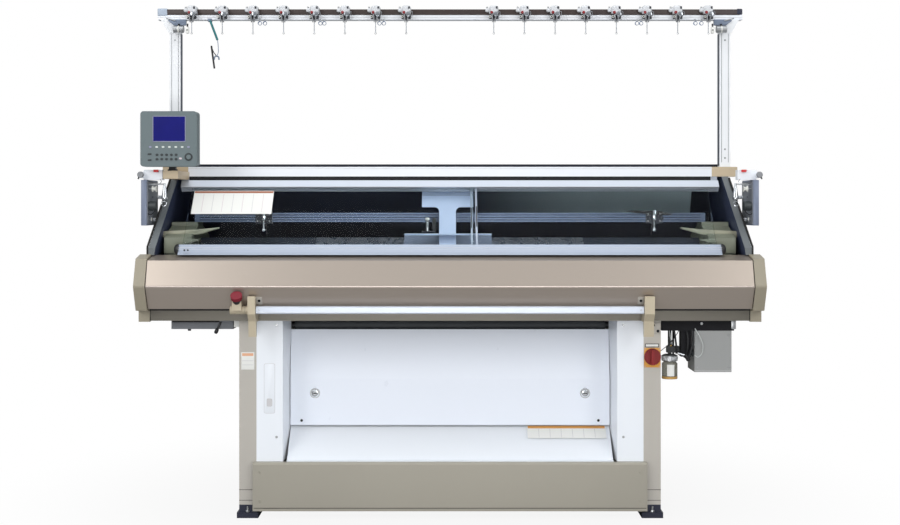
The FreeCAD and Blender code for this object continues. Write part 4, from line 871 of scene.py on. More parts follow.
pink_print = painted("label_rose", (214, 200, 205), 0.5, peel=0.02)
brown_print = painted("label_brown", (158, 92, 62), 0.5, peel=0.02)
window_card = Piece("window_blank_card")
card_left, card_right, card_foot, card_head = -1.158, -0.798, 0.196, 0.334
pane_patch(
    window_card, "left_window", card_left, card_right, card_foot, card_head, 0.0008, 0.0007, label_white,
)
pane_patch(
    window_card, "left_window", card_left + 0.002, card_right - 0.002, card_head - 0.014,
    card_head - 0.003, 0.0012, 0.0004, brown_print,
)
columns = 8
for column in range(1, columns):
    left = card_left + column * (card_right - card_left) / columns
    ink = pink_print if column % 2 else print_grey_and_groove_shade
    pane_patch(
        window_card, "left_window", left - 0.001, left + 0.001, card_foot + 0.012, card_head - 0.02,
        0.001, 0.0002, ink,
    )
window_card.done("left_window_body")

# ---- Side covers and rear cover --------------------------------------------------------------
# The side covers are thick moulded shells that lean in above their knee; the rear cover is folded
# sheet. Outside they are slate grey; the faces that look towards the inside are painted dark.
# A black rubber lip runs up the front edge of each side cover.
coat_inputs = (
    ("Outside", "NodeSocketColor", (0.5, 0.5, 0.5, 1.0)),
    ("Inside", "NodeSocketColor", (0.05, 0.05, 0.05, 1.0)),
    ("Towards", "NodeSocketVector", (0.0, 1.0, 0.0)),
)
two_coats, coat_in, coat_out = shader_group("two_coats", coat_inputs, (("Colour", "NodeSocketColor"),))
coat_side = two_coats.nodes.new("ShaderNodeVectorMath")
coat_side.operation = "DOT_PRODUCT"
two_coats.links.new(two_coats.nodes.new("ShaderNodeNewGeometry").outputs["Normal"], coat_side.inputs[0])
two_coats.links.new(coat_in.outputs["Towards"], coat_side.inputs[1])
coat_mask = maths(two_coats, "GREATER_THAN", coat_side.outputs["Value"], 0.3)
coat_mix = two_coats.nodes.new("ShaderNodeMix")
coat_mix.data_type = "RGBA"
two_coats.links.new(coat_mask, coat_mix.inputs["Factor"])
two_coats.links.new(coat_in.outputs["Outside"], coat_mix.inputs["A"])
two_coats.links.new(coat_in.outputs["Inside"], coat_mix.inputs["B"])
two_coats.links.new(coat_mix.outputs["Result"], coat_out.inputs["Colour"])


def coated(name, outside, inside, towards, roughness):
    """Paint outside and a dark coat on the faces that look towards the inside."""
    material = painted(name, outside, roughness, 0.0, tone_drift=0.05)
    tree = material.node_tree
    coats = tree.nodes.new("ShaderNodeGroup")
    coats.node_tree = two_coats
    coats.inputs["Outside"].default_value = linear(*outside)
    coats.inputs["Inside"].default_value = linear(*inside)
    coats.inputs["Towards"].default_value = towards
    skin = next(node for node in tree.nodes if node.type == "GROUP" and node.node_tree == paint_skin)
    tree.links.new(coats.outputs["Colour"], skin.inputs["Colour"])
    return material


to_right = (1, 0, 0)
slate, inner_dark = (104, 109, 112), (58, 66, 92)
finish("left_side_cover", coated("left_side_coat", slate, inner_dark, to_right, 0.45), 0.003, 3)
finish("right_side_cover", coated("right_side_coat", slate, inner_dark, (-1, 0, 0), 0.45), 0.003, 3)
finish("rear_cover", coated("rear_coat", (168, 170, 168), (26, 29, 44), (0, -1, -0.4), 0.42), 0.0015)
rear_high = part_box("rear_cover")[1]
for label, side in (("left", -1), ("right", 1)):
    low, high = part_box(label + "_side_cover")
    foot_x, head_x = side * 1.3185, side * 1.2705
    front_edge = [
        Vector((foot_x, low.y + 0.001, 1.182)),
        Vector((head_x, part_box(label + "_window")[1].y - 0.006, 1.488)),
    ]
    lip = Piece(label + "_side_lip")
    lip.rod(front_edge[0], front_edge[1], 0.0045, bead_rubber, 10)
    lip.rod((foot_x, low.y + 0.001, 1.182), (foot_x, low.y + 0.001, 1.148), 0.0045, bead_rubber, 10)
    lip.done()

rear_trim = Piece("rear_cover_trim")
# The cover's slots are black strips: painted shade in them.
for bay in range(-3, 4):
    for row in range(7):
        z = 0.96 + row * 0.018
        x = bay * 0.33
        rear_trim.block(
            (x - 0.09, rear_high.y - 0.0012, z), (x + 0.09, rear_high.y - 0.0002, z + 0.006),
            painted_hollow_shade, 0,
        )
for i in range(9):
    x = -1.2 + i * 0.3
    for z in (0.885, 1.115):
        cap_screw(rear_trim, (x, rear_high.y - 0.0035, z), to_back, 0.005, zinc)
rear_trim.done()

lining_lift = Vector((0.0, -0.92, -0.4)) * 0.0015
lining_face = [Vector((0.0, y, z)) + lining_lift for y, z in ((0.3655, 1.31), (0.3089, 1.4405))]
lining_coat = painted(
    "lining_felt", (186, 202, 208), 0.8, 0.0, tone_drift=0.35, drift_scale=2.2, peel=0.6,
    peel_scale=300.0,
)
lining_tree = lining_coat.node_tree
lining_place = lining_tree.nodes.new("ShaderNodeTexCoord")
lining_axes = lining_tree.nodes.new("ShaderNodeSeparateXYZ")
lining_tree.links.new(lining_place.outputs["Object"], lining_axes.inputs["Vector"])
lining_fade = lining_tree.nodes.new("ShaderNodeMapRange")
lining_fade.interpolation_type = "SMOOTHSTEP"
for label, value in (("From Min", -0.1), ("From Max", 1.05)):
    lining_fade.inputs[label].default_value = value
lining_tree.links.new(lining_axes.outputs["X"], lining_fade.inputs["Value"])
lining_mix = lining_tree.nodes.new("ShaderNodeMix")
lining_mix.data_type = "RGBA"
lining_mix.inputs["A"].default_value = linear(40, 46, 66)
lining_tree.links.new(lining_fade.outputs["Result"], lining_mix.inputs["Factor"])
lining_skin = next(node for node in lining_tree.nodes if node.type == "GROUP")
lining_tree.links.new(lining_skin.outputs["Colour"], lining_mix.inputs["B"])
lining_tree.links.new(
    lining_mix.outputs["Result"], lining_tree.nodes["Principled BSDF"].inputs["Base Color"],
)
lining = Piece("rear_lining")
lining_reach = 1.165
corners = [
    (-lining_reach, lining_face[1]), (-lining_reach, lining_face[0]), (lining_reach, lining_face[0]),
    (lining_reach, lining_face[1]),
]
lining.plate([Vector((x, 0, 0)) + face for x, face in corners], 0.0012, lining_coat, 0)
lining.done()

# ---- Needle beds -----------------------------------------------------------------------------
# Two ground steel beds meet in a V. Each is milled with a slot for every needle; a latch needle
# with its butt lies in each slot, a steel strip across the bed keeps the needles down, and a
# dark cast beam under each bed carries it.
bed_steel = drawn("ground_bed_steel", (74, 80, 92), 0.32, 0.85, stretch=(4.0, 40.0, 40.0))
needle_steel = painted("needle_steel", (168, 174, 184), 0.28, 0.95, peel=0.0)
casting_dark = painted("beam_casting", (44, 48, 58), 0.5, 0.3, peel=0.5, peel_scale=220.0)
for node in ("front_needle_bed", "rear_needle_bed"):
    finish(node, bed_steel, 0.0008)
for node in ("front_beam", "rear_beam"):
    finish(node, casting_dark, 0.003)
bed_slope = math.radians(40)
bed_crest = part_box("front_needle_bed")[1].z
bed_gap_half = -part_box("front_needle_bed")[1].y


def on_bed(side, x, along, out):
    """A point of a bed: down its slope from the crest, and up out of its face."""
    y = bed_gap_half + along * math.cos(bed_slope) + out * math.sin(bed_slope)
    z = bed_crest - along * math.sin(bed_slope) + out * math.cos(bed_slope)
    return Vector((x, y * side, z))


def slope_bar(piece, side, x, along, out, material):
    """A straight-sided bar on a bed, between two values each across, along and out."""
    shape = bmesh.new()
    corners = [
        shape.verts.new(on_bed(side, x[i], along[j], out[k]))
        for i in (0, 1)
        for j in (0, 1)
        for k in (0, 1)
    ]
    for ring in ((0, 1, 3, 2), (4, 6, 7, 5), (0, 4, 5, 1), (2, 3, 7, 6), (1, 5, 7, 3), (0, 2, 6, 4)):
        shape.faces.new([corners[i] for i in ring])
    bmesh.ops.recalc_face_normals(shape, faces=shape.faces)
    piece.take(shape, material, smooth=False)


needle_pitch = 0.0018
needle_reach = 0.61
needle_count = int(2 * needle_reach / needle_pitch)
for label, side in (("front", -1), ("rear", 1)):
    points, faces = [], []
    for i in range(needle_count):
        x = -needle_reach + i * needle_pitch + (0.0 if side < 0 else needle_pitch / 2)
        for along, out, half in (((0.001, 0.118), 0.0017, 0.0004), ((0.118, 0.123), 0.0026, 0.0005)):
            base = len(points)
            points += [
                on_bed(side, x + a * half, along[b], c * out)
                for a in (-1, 1)
                for b in (0, 1)
                for c in (0, 1)
            ]
            for ring in ((0, 2, 3, 1), (4, 5, 7, 6), (1, 3, 7, 5), (0, 1, 5, 4), (2, 6, 7, 3)):
                faces.append([base + k for k in ring])
    mesh = bpy.data.meshes.new(label + "_needles")
    mesh.from_pydata(points, [], faces)
    mesh.materials.append(needle_steel)
    needles = bpy.data.objects.new(label + "_needles", mesh)
    bpy.context.scene.collection.objects.link(needles)
    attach(needles, "frame")
    strips = Piece(label + "_bed_strips")
    bed_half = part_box(label + "_needle_bed")[1].x - 0.002
    bed_reach = (-bed_half, bed_half)
    slope_bar(strips, side, bed_reach, (0.052, 0.064), (0.0, 0.0026), bed_steel)
    slope_bar(strips, side, bed_reach, (0.168, 0.178), (0.0, 0.0024), chrome)
    for x in (-1.0, -0.75, 0.75, 1.0):
        slope_bar(strips, side, (x - 0.05, x + 0.05), (0.09, 0.15), (0.0, 0.0015), zinc)
    strips.done()

# ---- End castings ----------------------------------------------------------------------------
# A cast bracket at each end of the beds, in olive machine enamel, holds the yarn rails. Its
# top carries a long tapered rest that points inwards, and a cap screw shows on its face.
olive_enamel = painted(
    "olive_machine_enamel", (122, 126, 110), 0.45, 0.0, peel=0.4, peel_scale=240.0, tone_drift=0.12,
)
pale_olive = painted("pale_olive_enamel", (158, 156, 136), 0.4, 0.0, peel=0.3, tone_drift=0.1)
finish("end_castings", olive_enamel, 0.004, 3)
casting_low, casting_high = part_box("end_castings")
rests = Piece("casting_rests")
for side in (-1, 1):
    outer, inner = side * (casting_high.x + 0.02), side * 1.03
    rest_z, rest_y = 1.236, casting_low.y + 0.042
    outline = [
        (outer, rest_y, rest_z - 0.016), (outer, rest_y, rest_z + 0.012),
        (side * 1.12, rest_y, rest_z + 0.02), (inner, rest_y, rest_z + 0.029),
        (inner, rest_y, rest_z + 0.022), (side * 1.12, rest_y, rest_z - 0.004),
    ]
    rests.plate(outline if side > 0 else outline[::-1], 0.03, pale_olive, 0.004)
    face_y = casting_low.y - 0.003
    face = [
        (side * 1.262, face_y, 1.22), (side * 1.1, face_y, 1.212), (side * 1.17, face_y, 1.19),
        (side * 1.19, face_y, 1.152), (side * 1.262, face_y, 1.152),
    ]
    rests.plate(face[::-1] if side > 0 else face, 0.006, olive_enamel, 0.002)
    spot = (side * 1.244, face_y, 1.188)
    # A black ring round the cap screw is painted shade round its head.
    rests.turned(
        spot, to_front, [(0.0, 0.012), (0.002, 0.012), (0.002, 0.0085), (0.0005, 0.008), (0.0005, 0.0)],
        painted_seam_shadow, 24,
    )
    cap_screw(rests, (spot[0], spot[1] - 0.0004, spot[2]), to_front, 0.0065, zinc)
rests.done()

# ---- Yarn rails ------------------------------------------------------------------------------
# Two drawn steel rails with milled tracks, blued, on which the yarn carriers run.
rail_blue = drawn("blued_rail", (96, 108, 132), 0.3, 0.7, tone_drift=0.08)
track_shade = painted("rail_track", (40, 46, 62), 0.5, 0.4)
finish("yarn_rails", rail_blue, 0.001)
yarn_low, yarn_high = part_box("yarn_rails")
# The milled tracks are drawn as dark strips: painted shade in the tracks.
tracks = Piece("yarn_rail_tracks")
for y in (yarn_low.y, yarn_high.y):
    out = -1 if y < 0 else 1
    for share in (0.22, 0.5, 0.78):
        z = yarn_low.z + share * (yarn_high.z - yarn_low.z)
        near, far = sorted((y - out * 0.0002, y + out * 0.00015))
        tracks.block(
            (yarn_low.x + 0.022, near, z - 0.0022), (yarn_high.x - 0.022, far, z + 0.0022), track_shade, 0,
        )
tracks.done()

# ---- Yarn carriers ---------------------------------------------------------------------------
# Each carrier is a dark sleeve on the front rail with a steel arm that brings its feeder down
# to the gap between the beds. The left one has a bright slide plate; the right one a long
# black yarn guide wing with three small screws.
carrier_dark = painted("carrier_black", (34, 36, 46), 0.4, 0.2)
for label in ("left", "right"):
    node = label + "_yarn_carrier"
    finish(node, carrier_dark, 0.001)
    low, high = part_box(node)
    middle = (low.x + high.x) / 2
    detail = Piece(label + "_carrier_detail")
    face_y = low.y
    detail.block(
        (middle - 0.005, face_y - 0.003, low.z + 0.072), (middle + 0.007, face_y, high.z + 0.004), chrome,
        0.001,
    )
    for dx in (-0.028, 0.026):
        for dz in (0.012, 0.045):
            cap_screw(detail, (middle + dx, face_y, high.z - dz), to_front, 0.0035, zinc)
    detail.rod(
        (middle, face_y + 0.004, low.z + 0.03), (middle, face_y + 0.004, low.z + 0.07), 0.005, chrome, 16,
    )
    detail.turned(
        (middle, face_y + 0.004, low.z + 0.018), upward,
        [(0.0, 0.004), (0.006, 0.009), (0.012, 0.009), (0.018, 0.005)], chrome, 20,
    )
    if label == "right":
        wing_y = face_y - 0.0005
        wing = [
            (middle - 0.145, wing_y, high.z - 0.002), (middle - 0.07, wing_y, high.z - 0.01),
            (middle + 0.06, wing_y, high.z - 0.02), (middle + 0.085, wing_y, high.z - 0.011),
            (middle - 0.01, wing_y, high.z + 0.003), (middle - 0.1, wing_y, high.z + 0.004),
        ]
        detail.plate(wing, 0.003, black_plastic, 0.001)
        for i in range(3):
            cap_screw(detail, (middle + 0.02 * i, face_y, high.z - 0.016 - 0.008 * i), to_front, 0.004)
    detail.done(label + "_carrier")

# ---- Carriage and its bow --------------------------------------------------------------------
# The carriage rides both beds and holds the cams. A pale blue T-shaped bow of bent plate leans
# over the yarn rails and ties its front half to its rear half. Fine lines are milled across the
# bow's head, and the front half carries its cover plate, its brush and a chrome guide post.
bow_paint = painted("bow_enamel", (182, 197, 224), 0.36, 0.0, tone_drift=0.04, peel=0.1)
carriage_paint = painted("carriage_enamel", (118, 128, 148), 0.42, 0.1)
finish("carriage_bow", bow_paint, 0.0025, 3)
finish("front_carriage", carriage_paint, 0.002)
finish("rear_carriage", carriage_paint, 0.002)
bow_low, bow_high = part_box("carriage_bow")
car_low, car_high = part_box("front_carriage")
carriage_detail = Piece("carriage_detail")
lean = Vector((0.0, math.cos(window_tilt), math.sin(window_tilt)))
lean_out = Vector((0.0, -math.sin(window_tilt), math.cos(window_tilt)))
head_front = Vector(
    (0.0, on_pane("left_window", 0, 0, 0).y, on_pane("left_window", 0, 0, 0).z)
) + lean_out * (0.002 - 0.048)


def on_bow(x, z, out):
    """A point on the leaning face of the bow at height z."""
    along = (z - head_front.z) / lean.z
    return Vector((x, head_front.y + lean.y * along, z)) + lean_out * out


for z in (bow_high.z - 0.011, bow_high.z - 0.017):
    ends = (bow_low.x + 0.002, bow_high.x - 0.002)
    line = [
        on_bow(ends[0], z - 0.0007, 0.0003), on_bow(ends[1], z - 0.0007, 0.0003),
        on_bow(ends[1], z + 0.0007, 0.0003), on_bow(ends[0], z + 0.0007, 0.0003),
    ]
    carriage_detail.plate(line, 0.0006, carriage_paint, 0)
for side in (-1, 1):
    for dx in (0.085, 0.1):
        cap_screw(
            carriage_detail, on_bow(side * dx + (bow_low.x + bow_high.x) / 2, bow_low.z + 0.24, 0.0),
            lean_out, 0.0035, zinc,
        )
shoe_z = car_high.z
carriage_detail.block(
    (car_low.x + 0.004, car_low.y + 0.003, shoe_z),
    (car_high.x - 0.004, car_low.y + 0.05, shoe_z + 0.007), bow_paint, 0.0012,
)
for x in (car_low.x + 0.02, car_low.x + 0.1, car_high.x - 0.1, car_high.x - 0.02):
    cap_screw(carriage_detail, (x, car_low.y + 0.026, shoe_z + 0.007), upward, 0.004, zinc)
post_x = car_low.x + 0.105
carriage_detail.block(
    (post_x - 0.026, car_low.y + 0.062, shoe_z), (post_x + 0.034, car_low.y + 0.092, shoe_z + 0.018),
    carrier_dark, 0.002,
)
carriage_detail.rod(
    (post_x, car_low.y + 0.075, shoe_z + 0.016), (post_x, car_low.y + 0.075, shoe_z + 0.068), 0.0085,
    chrome, 24,
)
carriage_detail.turned(
    (post_x, car_low.y + 0.075, shoe_z + 0.066), upward,
    [(0.0, 0.006), (0.002, 0.0095), (0.008, 0.0095), (0.011, 0.006)], label_white, 24,
)
carriage_detail.block(
    (post_x + 0.022, car_low.y + 0.066, shoe_z + 0.016),
    (post_x + 0.04, car_low.y + 0.086, shoe_z + 0.075), black_plastic, 0.002,
)
carriage_detail.done("carriage")

# ---- Drive belt, pulleys, motor and rollers --------------------------------------------------
# Behind the beds a toothed rubber belt runs between two aluminium pulleys and draws the
# carriage. A finned motor turns the right pulley. Below the beds two rubber-covered rollers
# nip the fabric and draw it down.
belt_rubber = painted("belt_rubber", (30, 30, 31), 0.75, 0.0, peel=0.4, peel_scale=900.0)
roller_rubber = painted("roller_rubber", (72, 76, 80), 0.6, 0.0, peel=0.4, peel_scale=600.0)
motor_paint = painted("motor_enamel", (48, 52, 58), 0.45, 0.2)
finish("drive_belt", belt_rubber)
finish("drive_pulley", zinc, 0.0008)
finish("idler_pulley", zinc, 0.0008)
finish("drive_motor", motor_paint, 0.002)
for node in ("front_takedown_roller", "rear_takedown_roller"):
    finish(node, roller_rubber, 0.0015)
motor_low, motor_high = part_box("drive_motor")
fins = Piece("motor_fins")
fin_top = motor_high.z
fin_count, fin_pitch = 11, 0.0075
for i in range(fin_count):
    y = motor_low.y + 0.022 + i * fin_pitch
    fins.block(
        (motor_low.x + 0.004, y, fin_top), (motor_high.x - 0.004, y + 0.002, fin_top + 0.008),
        motor_paint, 0.0004,
    )
fins.turned(
    ((motor_low.x + motor_high.x) / 2, motor_high.y, fin_top - 0.045), to_back,
    [(0.0, 0.038), (0.006, 0.038), (0.01, 0.03), (0.01, 0.008), (0.014, 0.006), (0.014, 0.0)],
    black_plastic, 36,
)
fins.done()
for label in ("drive_pulley", "idler_pulley"):
    low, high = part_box(label)
    middle = (low + high) / 2
    radius = (high.z - low.z) / 2
    spokes = Piece(label + "_spokes")
    # Black discs stand for the holes in the pulley's web: painted shade.
    for i in range(6):
        turn = math.radians(60 * i)
        spot = (
            middle.x + 0.6 * radius * math.cos(turn), high.y, middle.z + 0.6 * radius * math.sin(turn),
        )
        spokes.turned(spot, to_back, [(0.0, 0.0065), (0.0006, 0.006), (0.0006, 0.0)], painted_hollow_shade, 20)
    spokes.done(label + "_body")

# ---- Control panel ---------------------------------------------------------------------------
# A moulded grey-green case with softened edges on a black swivel neck, carried by a beige
# folded arm. Its face has a blue screen in a thin lilac frame, a row of pale oval keys, a
# block of dark round keys and a jog ring. Nothing is printed on it.
case_plastic = painted(
    "case_plastic", (103, 116, 119), 0.5, 0.0, peel=0.5, peel_scale=900.0, tone_drift=0.05,
)
key_pale = painted("key_pale", (214, 220, 216), 0.4, 0.0, peel=0.1)
key_dark = painted("key_dark", (46, 52, 54), 0.45, 0.0, peel=0.1)
lilac_frame = painted("lilac_frame", (150, 150, 178), 0.4)
finish("panel_case", case_plastic, 0.005, 4)
screen_glass = painted("screen_glass", (10, 12, 96), 0.12, 0.0, tone_drift=0.5, drift_scale=9.0, peel=0.0)
screen_shader = screen_glass.node_tree.nodes["Principled BSDF"]
screen_skin = next(node for node in screen_glass.node_tree.nodes if node.type == "GROUP")
screen_glass.node_tree.links.new(screen_skin.outputs["Colour"], screen_shader.inputs["Emission Color"])
screen_shader.inputs["Emission Strength"].default_value = 0.45
finish("panel_screen", screen_glass, 0.0006)
finish("panel_neck", black_plastic, 0.0015)
finish("panel_arm", cap_beige, 0.003, 3)
case_low, case_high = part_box("panel_case")
screen_low, screen_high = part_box("panel_screen")
panel_face = Piece("panel_face")
face_y = case_low.y
frame_reach, frame_bar = 0.003, 0.0025
frame_front, frame_back = face_y - 0.0014, face_y + 0.001
frame_left, frame_right = screen_low.x - frame_reach, screen_high.x + frame_reach
frame_foot, frame_head = screen_low.z - frame_reach, screen_high.z + frame_reach
for rise in (frame_foot, frame_head - frame_bar):
    panel_face.block(
        (frame_left, frame_front, rise), (frame_right, frame_back, rise + frame_bar), lilac_frame, 0.0004,
    )
for across in (frame_left, frame_right - frame_bar):
    panel_face.block(
        (across, frame_front, frame_foot), (across + frame_bar, frame_back, frame_head), lilac_frame,
        0.0004,
    )


def key(x, z, half_width, half_height, material):
    """One raised key with round ends."""
    radius = min(half_width, half_height) * 0.98
    outline = rounded_outline(
        x - half_width, x + half_width, z - half_height, z + half_height, radius, face_y - 0.0022,
    )
    panel_face.plate(outline, 0.003, material, 0.0006)


key_left, key_pitch = case_low.x + 0.044, 0.0277
for i in range(7):
    key(
        key_left + i * key_pitch, case_low.z + 0.085, 0.0058, 0.0036,
        key_pale if 0 < i < 6 else lilac_frame,
    )
for z in (0.054, 0.028):
    key(case_low.x + 0.041, case_low.z + z, 0.0085, 0.0035, key_dark)
block_left, block_pitch = case_low.x + 0.073, 0.0208
for i in range(5):
    for z in (0.051, 0.032):
        key(block_left + i * block_pitch, case_low.z + z, 0.0062, 0.0052, key_dark)
key(case_low.x + 0.175, case_low.z + 0.035, 0.006, 0.0042, pink_print)
jog = (case_high.x - 0.036, face_y + 0.0005, case_low.z + 0.042)
panel_face.turned(
    jog, to_front,
    [(0.0, 0.0175), (0.003, 0.0172), (0.004, 0.0155), (0.004, 0.0125), (0.002, 0.0115), (0.002, 0.0)],
    key_dark, 40,
)
panel_face.turned(
    (jog[0], jog[1] - 0.002, jog[2]), to_front, [(0.0, 0.0105), (0.0015, 0.01), (0.0015, 0.0)],
    case_plastic, 32,
)
# The vent slots on the case's back are black strips: painted shade in them.
vent_top, vent_pitch = case_high.z - 0.06, 0.011
for row in range(6):
    z = vent_top - row * vent_pitch
    panel_face.block(
        (case_low.x + 0.05, case_high.y - 0.001, z),
        (case_high.x - 0.05, case_high.y + 0.0002, z + 0.004), painted_hollow_shade, 0,
    )
panel_face.done("panel_head")

# ---- Start bar, its brackets and the stop button ---------------------------------------------
# A long anodised bar across the front starts the machine when the operator turns it up. It
# hangs between two cast brackets; the left one ends in a round barrel with the red mushroom
# stop button above it. Small clip plates with black screws hold the brackets to the cover.
bracket_paint = painted("bracket_enamel", (188, 176, 152), 0.42, 0.1)
finish("start_bar", drawn("bar_anodised", (196, 203, 215), 0.34, 0.35, depth=0.05), 0.003, 3)
finish("left_bar_bracket", bracket_paint, 0.003, 3)
finish("right_bar_bracket", bracket_paint, 0.003, 3)
stop_red = painted("stop_red", (124, 8, 34), 0.42, 0.0, tone_drift=0.05, peel=0.1)
finish("stop_button", stop_red, 0.0035, 4)
bar_low, bar_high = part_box("start_bar")
bar_trim = Piece("start_bar_trim")
for side in (-1, 1):
    end = bar_low.x if side < 0 else bar_high.x
    cap_screw(
        bar_trim, (end - side * 0.028, bar_low.y, (bar_low.z + bar_high.z) / 2), to_front, 0.0042, zinc,
    )
# A grey line along the bar is painted shade in its groove.
bar_trim.block(
    (bar_low.x + 0.012, bar_low.y - 0.0003, bar_low.z + 0.0075),
    (bar_high.x - 0.012, bar_low.y + 0.0006, bar_low.z + 0.0085), print_grey_and_groove_shade, 0,
)
bar_trim.done("start_bar_body")

lower_face = Vector((0.0, 0.053, -0.098)).normalized()
lower_out = Vector((0.0, -0.098, -0.053)).normalized()
clips = Piece("bar_clips")
for side in (-1, 1):
    middle = Vector((side * 0.8185, cover_low.y, 1.015)) + lower_face * 0.068
    corners = [(-0.013, -0.019), (0.013, -0.019), (0.013, 0.019), (-0.013, 0.019)]
    shell = [middle + Vector((x, 0, 0)) + lower_face * -z + lower_out * 0.0025 for x, z in corners]
    clips.plate(shell, 0.0022, leg_paint, 0.0006)
    cap_screw(clips, middle + lower_out * 0.0025, lower_out, 0.006)
clips.done()

bracket_trim = Piece("bracket_joints")
barrel_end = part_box("left_bar_bracket")[0].x
bar_y, bar_z = -0.387, 0.915
# Two thin black rings round the bar at the bracket are painted shadow in the joints.
for x in (-0.876, -0.863):
    bracket_trim.turned((x, bar_y, bar_z), to_right, [(0.0, 0.0184), (0.0008, 0.0184)], painted_seam_shadow, 32)
bracket_trim.turned(
    (barrel_end - 0.001, bar_y, bar_z), to_right,
    [(0.0, 0.0), (0.0, 0.013), (0.0012, 0.0145), (0.0012, 0.0)], bracket_paint, 32,
)
stop_low, stop_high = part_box("stop_button")
stop_middle = (stop_low + stop_high) / 2
stop_lean = math.radians(40)
stop_axis = Vector((0, -math.sin(stop_lean), math.cos(stop_lean)))
bracket_trim.turned(
    stop_middle - stop_axis * 0.03, stop_axis,
    [
        (0.0, 0.0165), (0.0, 0.019), (0.014, 0.019), (0.017, 0.016), (0.017, 0.0125), (0.0, 0.0125),
        (0.0, 0.0165),
    ],
    black_plastic, 32,
)
bracket_trim.done()

leg_plate = Piece("leg_top_plate")
leg_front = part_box("right_leg")[0]
leg_plate.block(
    (0.884, leg_front.y - 0.003, 0.803), (0.918, leg_front.y + 0.001, 0.851), leg_paint, 0.0008,
)
cap_screw(leg_plate, (0.8885, leg_front.y - 0.003, 0.84), to_front, 0.0055)
cap_screw(leg_plate, (0.907, leg_front.y - 0.003, 0.8145), to_front, 0.0065)
leg_plate.done()

# ---- Main switch -----------------------------------------------------------------------------
# A rotary mains switch on the right leg: a red moulded handle with a raised grip on an
# orange-yellow plate. Above it is a blank window for a rating card in a black frame.
switch_red = painted("switch_red", (132, 4, 8), 0.5, 0.0, tone_drift=0.06, peel=0.1)
switch_amber = painted("switch_amber", (228, 164, 70), 0.45, 0.0, peel=0.1)
finish("main_switch_knob", switch_red, 0.002, 3)
knob_low, knob_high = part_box("main_switch_knob")
knob_x = (knob_low.x + knob_high.x) / 2
knob_z = (knob_low.z + knob_high.z) / 2
screw_face = leg_front.y - 0.0022
switch_back = Piece("main_switch_plate")
switch_back.block(
    (0.847, screw_face, knob_z - 0.047), (0.9185, leg_front.y - 0.0002, knob_z + 0.038), switch_amber,
    0.0006,
)
for dx in (-0.031, 0.031):
    for dz in (-0.042, 0.033):
        cap_screw(switch_back, (knob_x + dx, screw_face, knob_z + dz), to_front, 0.0028, zinc)
switch_back.block(
    (0.851, leg_front.y - 0.004, knob_z + 0.041), (0.911, leg_front.y - 0.0002, knob_z + 0.057),
    black_plastic, 0.0015,
)
switch_back.block(
    (0.854, leg_front.y - 0.0046, knob_z + 0.044), (0.908, leg_front.y - 0.003, knob_z + 0.054),
    label_white, 0.0006,
)
switch_back.done()
knob_ribs = Piece("main_switch_ribs")
rib_count, rib_circle = 28, 0.0352
for i in range(rib_count):
    turn = 2 * math.pi * i / rib_count
    spot = Vector((knob_x + rib_circle * math.cos(turn), 0.0, knob_z + rib_circle * math.sin(turn)))
    knob_ribs.rod((spot.x, -0.3005, spot.z), (spot.x, -0.287, spot.z), 0.0013, switch_red, 8)
knob_ribs.done("main_switch")

# ---- Under the bed, right: hanger, control box and oil feed ----------------------------------
# A dark folded hanger carries the grey sheet control box and the oil feed. The oil feed is a
# clear bottle of amber oil under a ribbed metal cap, with a black valve, a brass union and
# thin tubes that are clipped at both ends. Leads run down inside the hanger's duct.
hanger_paint = painted("hanger_paint", (9, 9, 15), 0.85, 0.0)
box_paint = painted("box_enamel", (155, 156, 155), 0.5, 0.1)
finish("equipment_hanger", hanger_paint, 0.0015)
finish("control_box", box_paint, 0.002)
box_low, box_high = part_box("control_box")
hang_low, hang_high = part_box("equipment_hanger")
box_trim = Piece("control_box_trim")
# A grey line round the box near its foot is painted shade in the seam.
box_trim.block(
    (box_low.x - 0.0006, box_low.y - 0.0006, box_low.z + 0.006),
    (box_high.x + 0.0006, box_low.y + 0.001, box_low.z + 0.0072), print_grey_and_groove_shade, 0,
)
for x in (box_low.x + 0.012, box_high.x - 0.012):
    for z in (box_low.z + 0.02, box_high.z - 0.02):
        cap_screw(box_trim, (x, box_low.y, z), to_front, 0.0035, zinc)
# The vent slots in the box's side are black strips: painted shade in them.
for row in range(6):
    z = box_low.z + 0.06 + row * 0.012
    box_trim.block(
        (box_high.x - 0.0002, box_low.y + 0.04, z), (box_high.x + 0.0006, box_low.y + 0.12, z + 0.005),
        painted_hollow_shade, 0,
    )
box_trim.block(
    (hang_high.x - 0.012, box_low.y - 0.002, hang_high.z - 0.04),
    (hang_high.x + 0.008, box_low.y + 0.03, hang_high.z - 0.002), zinc, 0.002,
)
cap_screw(
    box_trim, ((box_low.x + box_high.x) / 2 - 0.05, hang_low.y, hang_high.z - 0.016), to_front, 0.006,
    zinc,
)
box_trim.done()

bottle_glass = bpy.data.materials.new("bottle_clear_wall")
bottle_glass.use_nodes = True
glass_tree = bottle_glass.node_tree
glass_shader = glass_tree.nodes["Principled BSDF"]
glass_shader.inputs["Base Color"].default_value = (0.5, 0.49, 0.42, 1.0)
glass_shader.inputs["Transmission Weight"].default_value = 0.75
glass_shader.inputs["IOR"].default_value = 1.4
glass_haze = noise(glass_tree, glass_tree.nodes.new("ShaderNodeTexCoord").outputs["Object"], 40.0, 3.0)
glass_tree.links.new(maths(glass_tree, "MULTIPLY", glass_haze, 0.25), glass_shader.inputs["Roughness"])
finish("oil_bottle", bottle_glass, 0.003, 3)
finish("oil_head", black_plastic, 0.001)
brass = painted("brass_union", (186, 148, 84), 0.28, 0.95, peel=0.0)
oil_amber = painted("oil_amber", (196, 152, 84), 0.15, 0.0, peel=0.0, tone_drift=0.2)
bottle_low, bottle_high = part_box("oil_bottle")
bottle_x = (bottle_low.x + bottle_high.x) / 2
bottle_y = (bottle_low.y + bottle_high.y) / 2
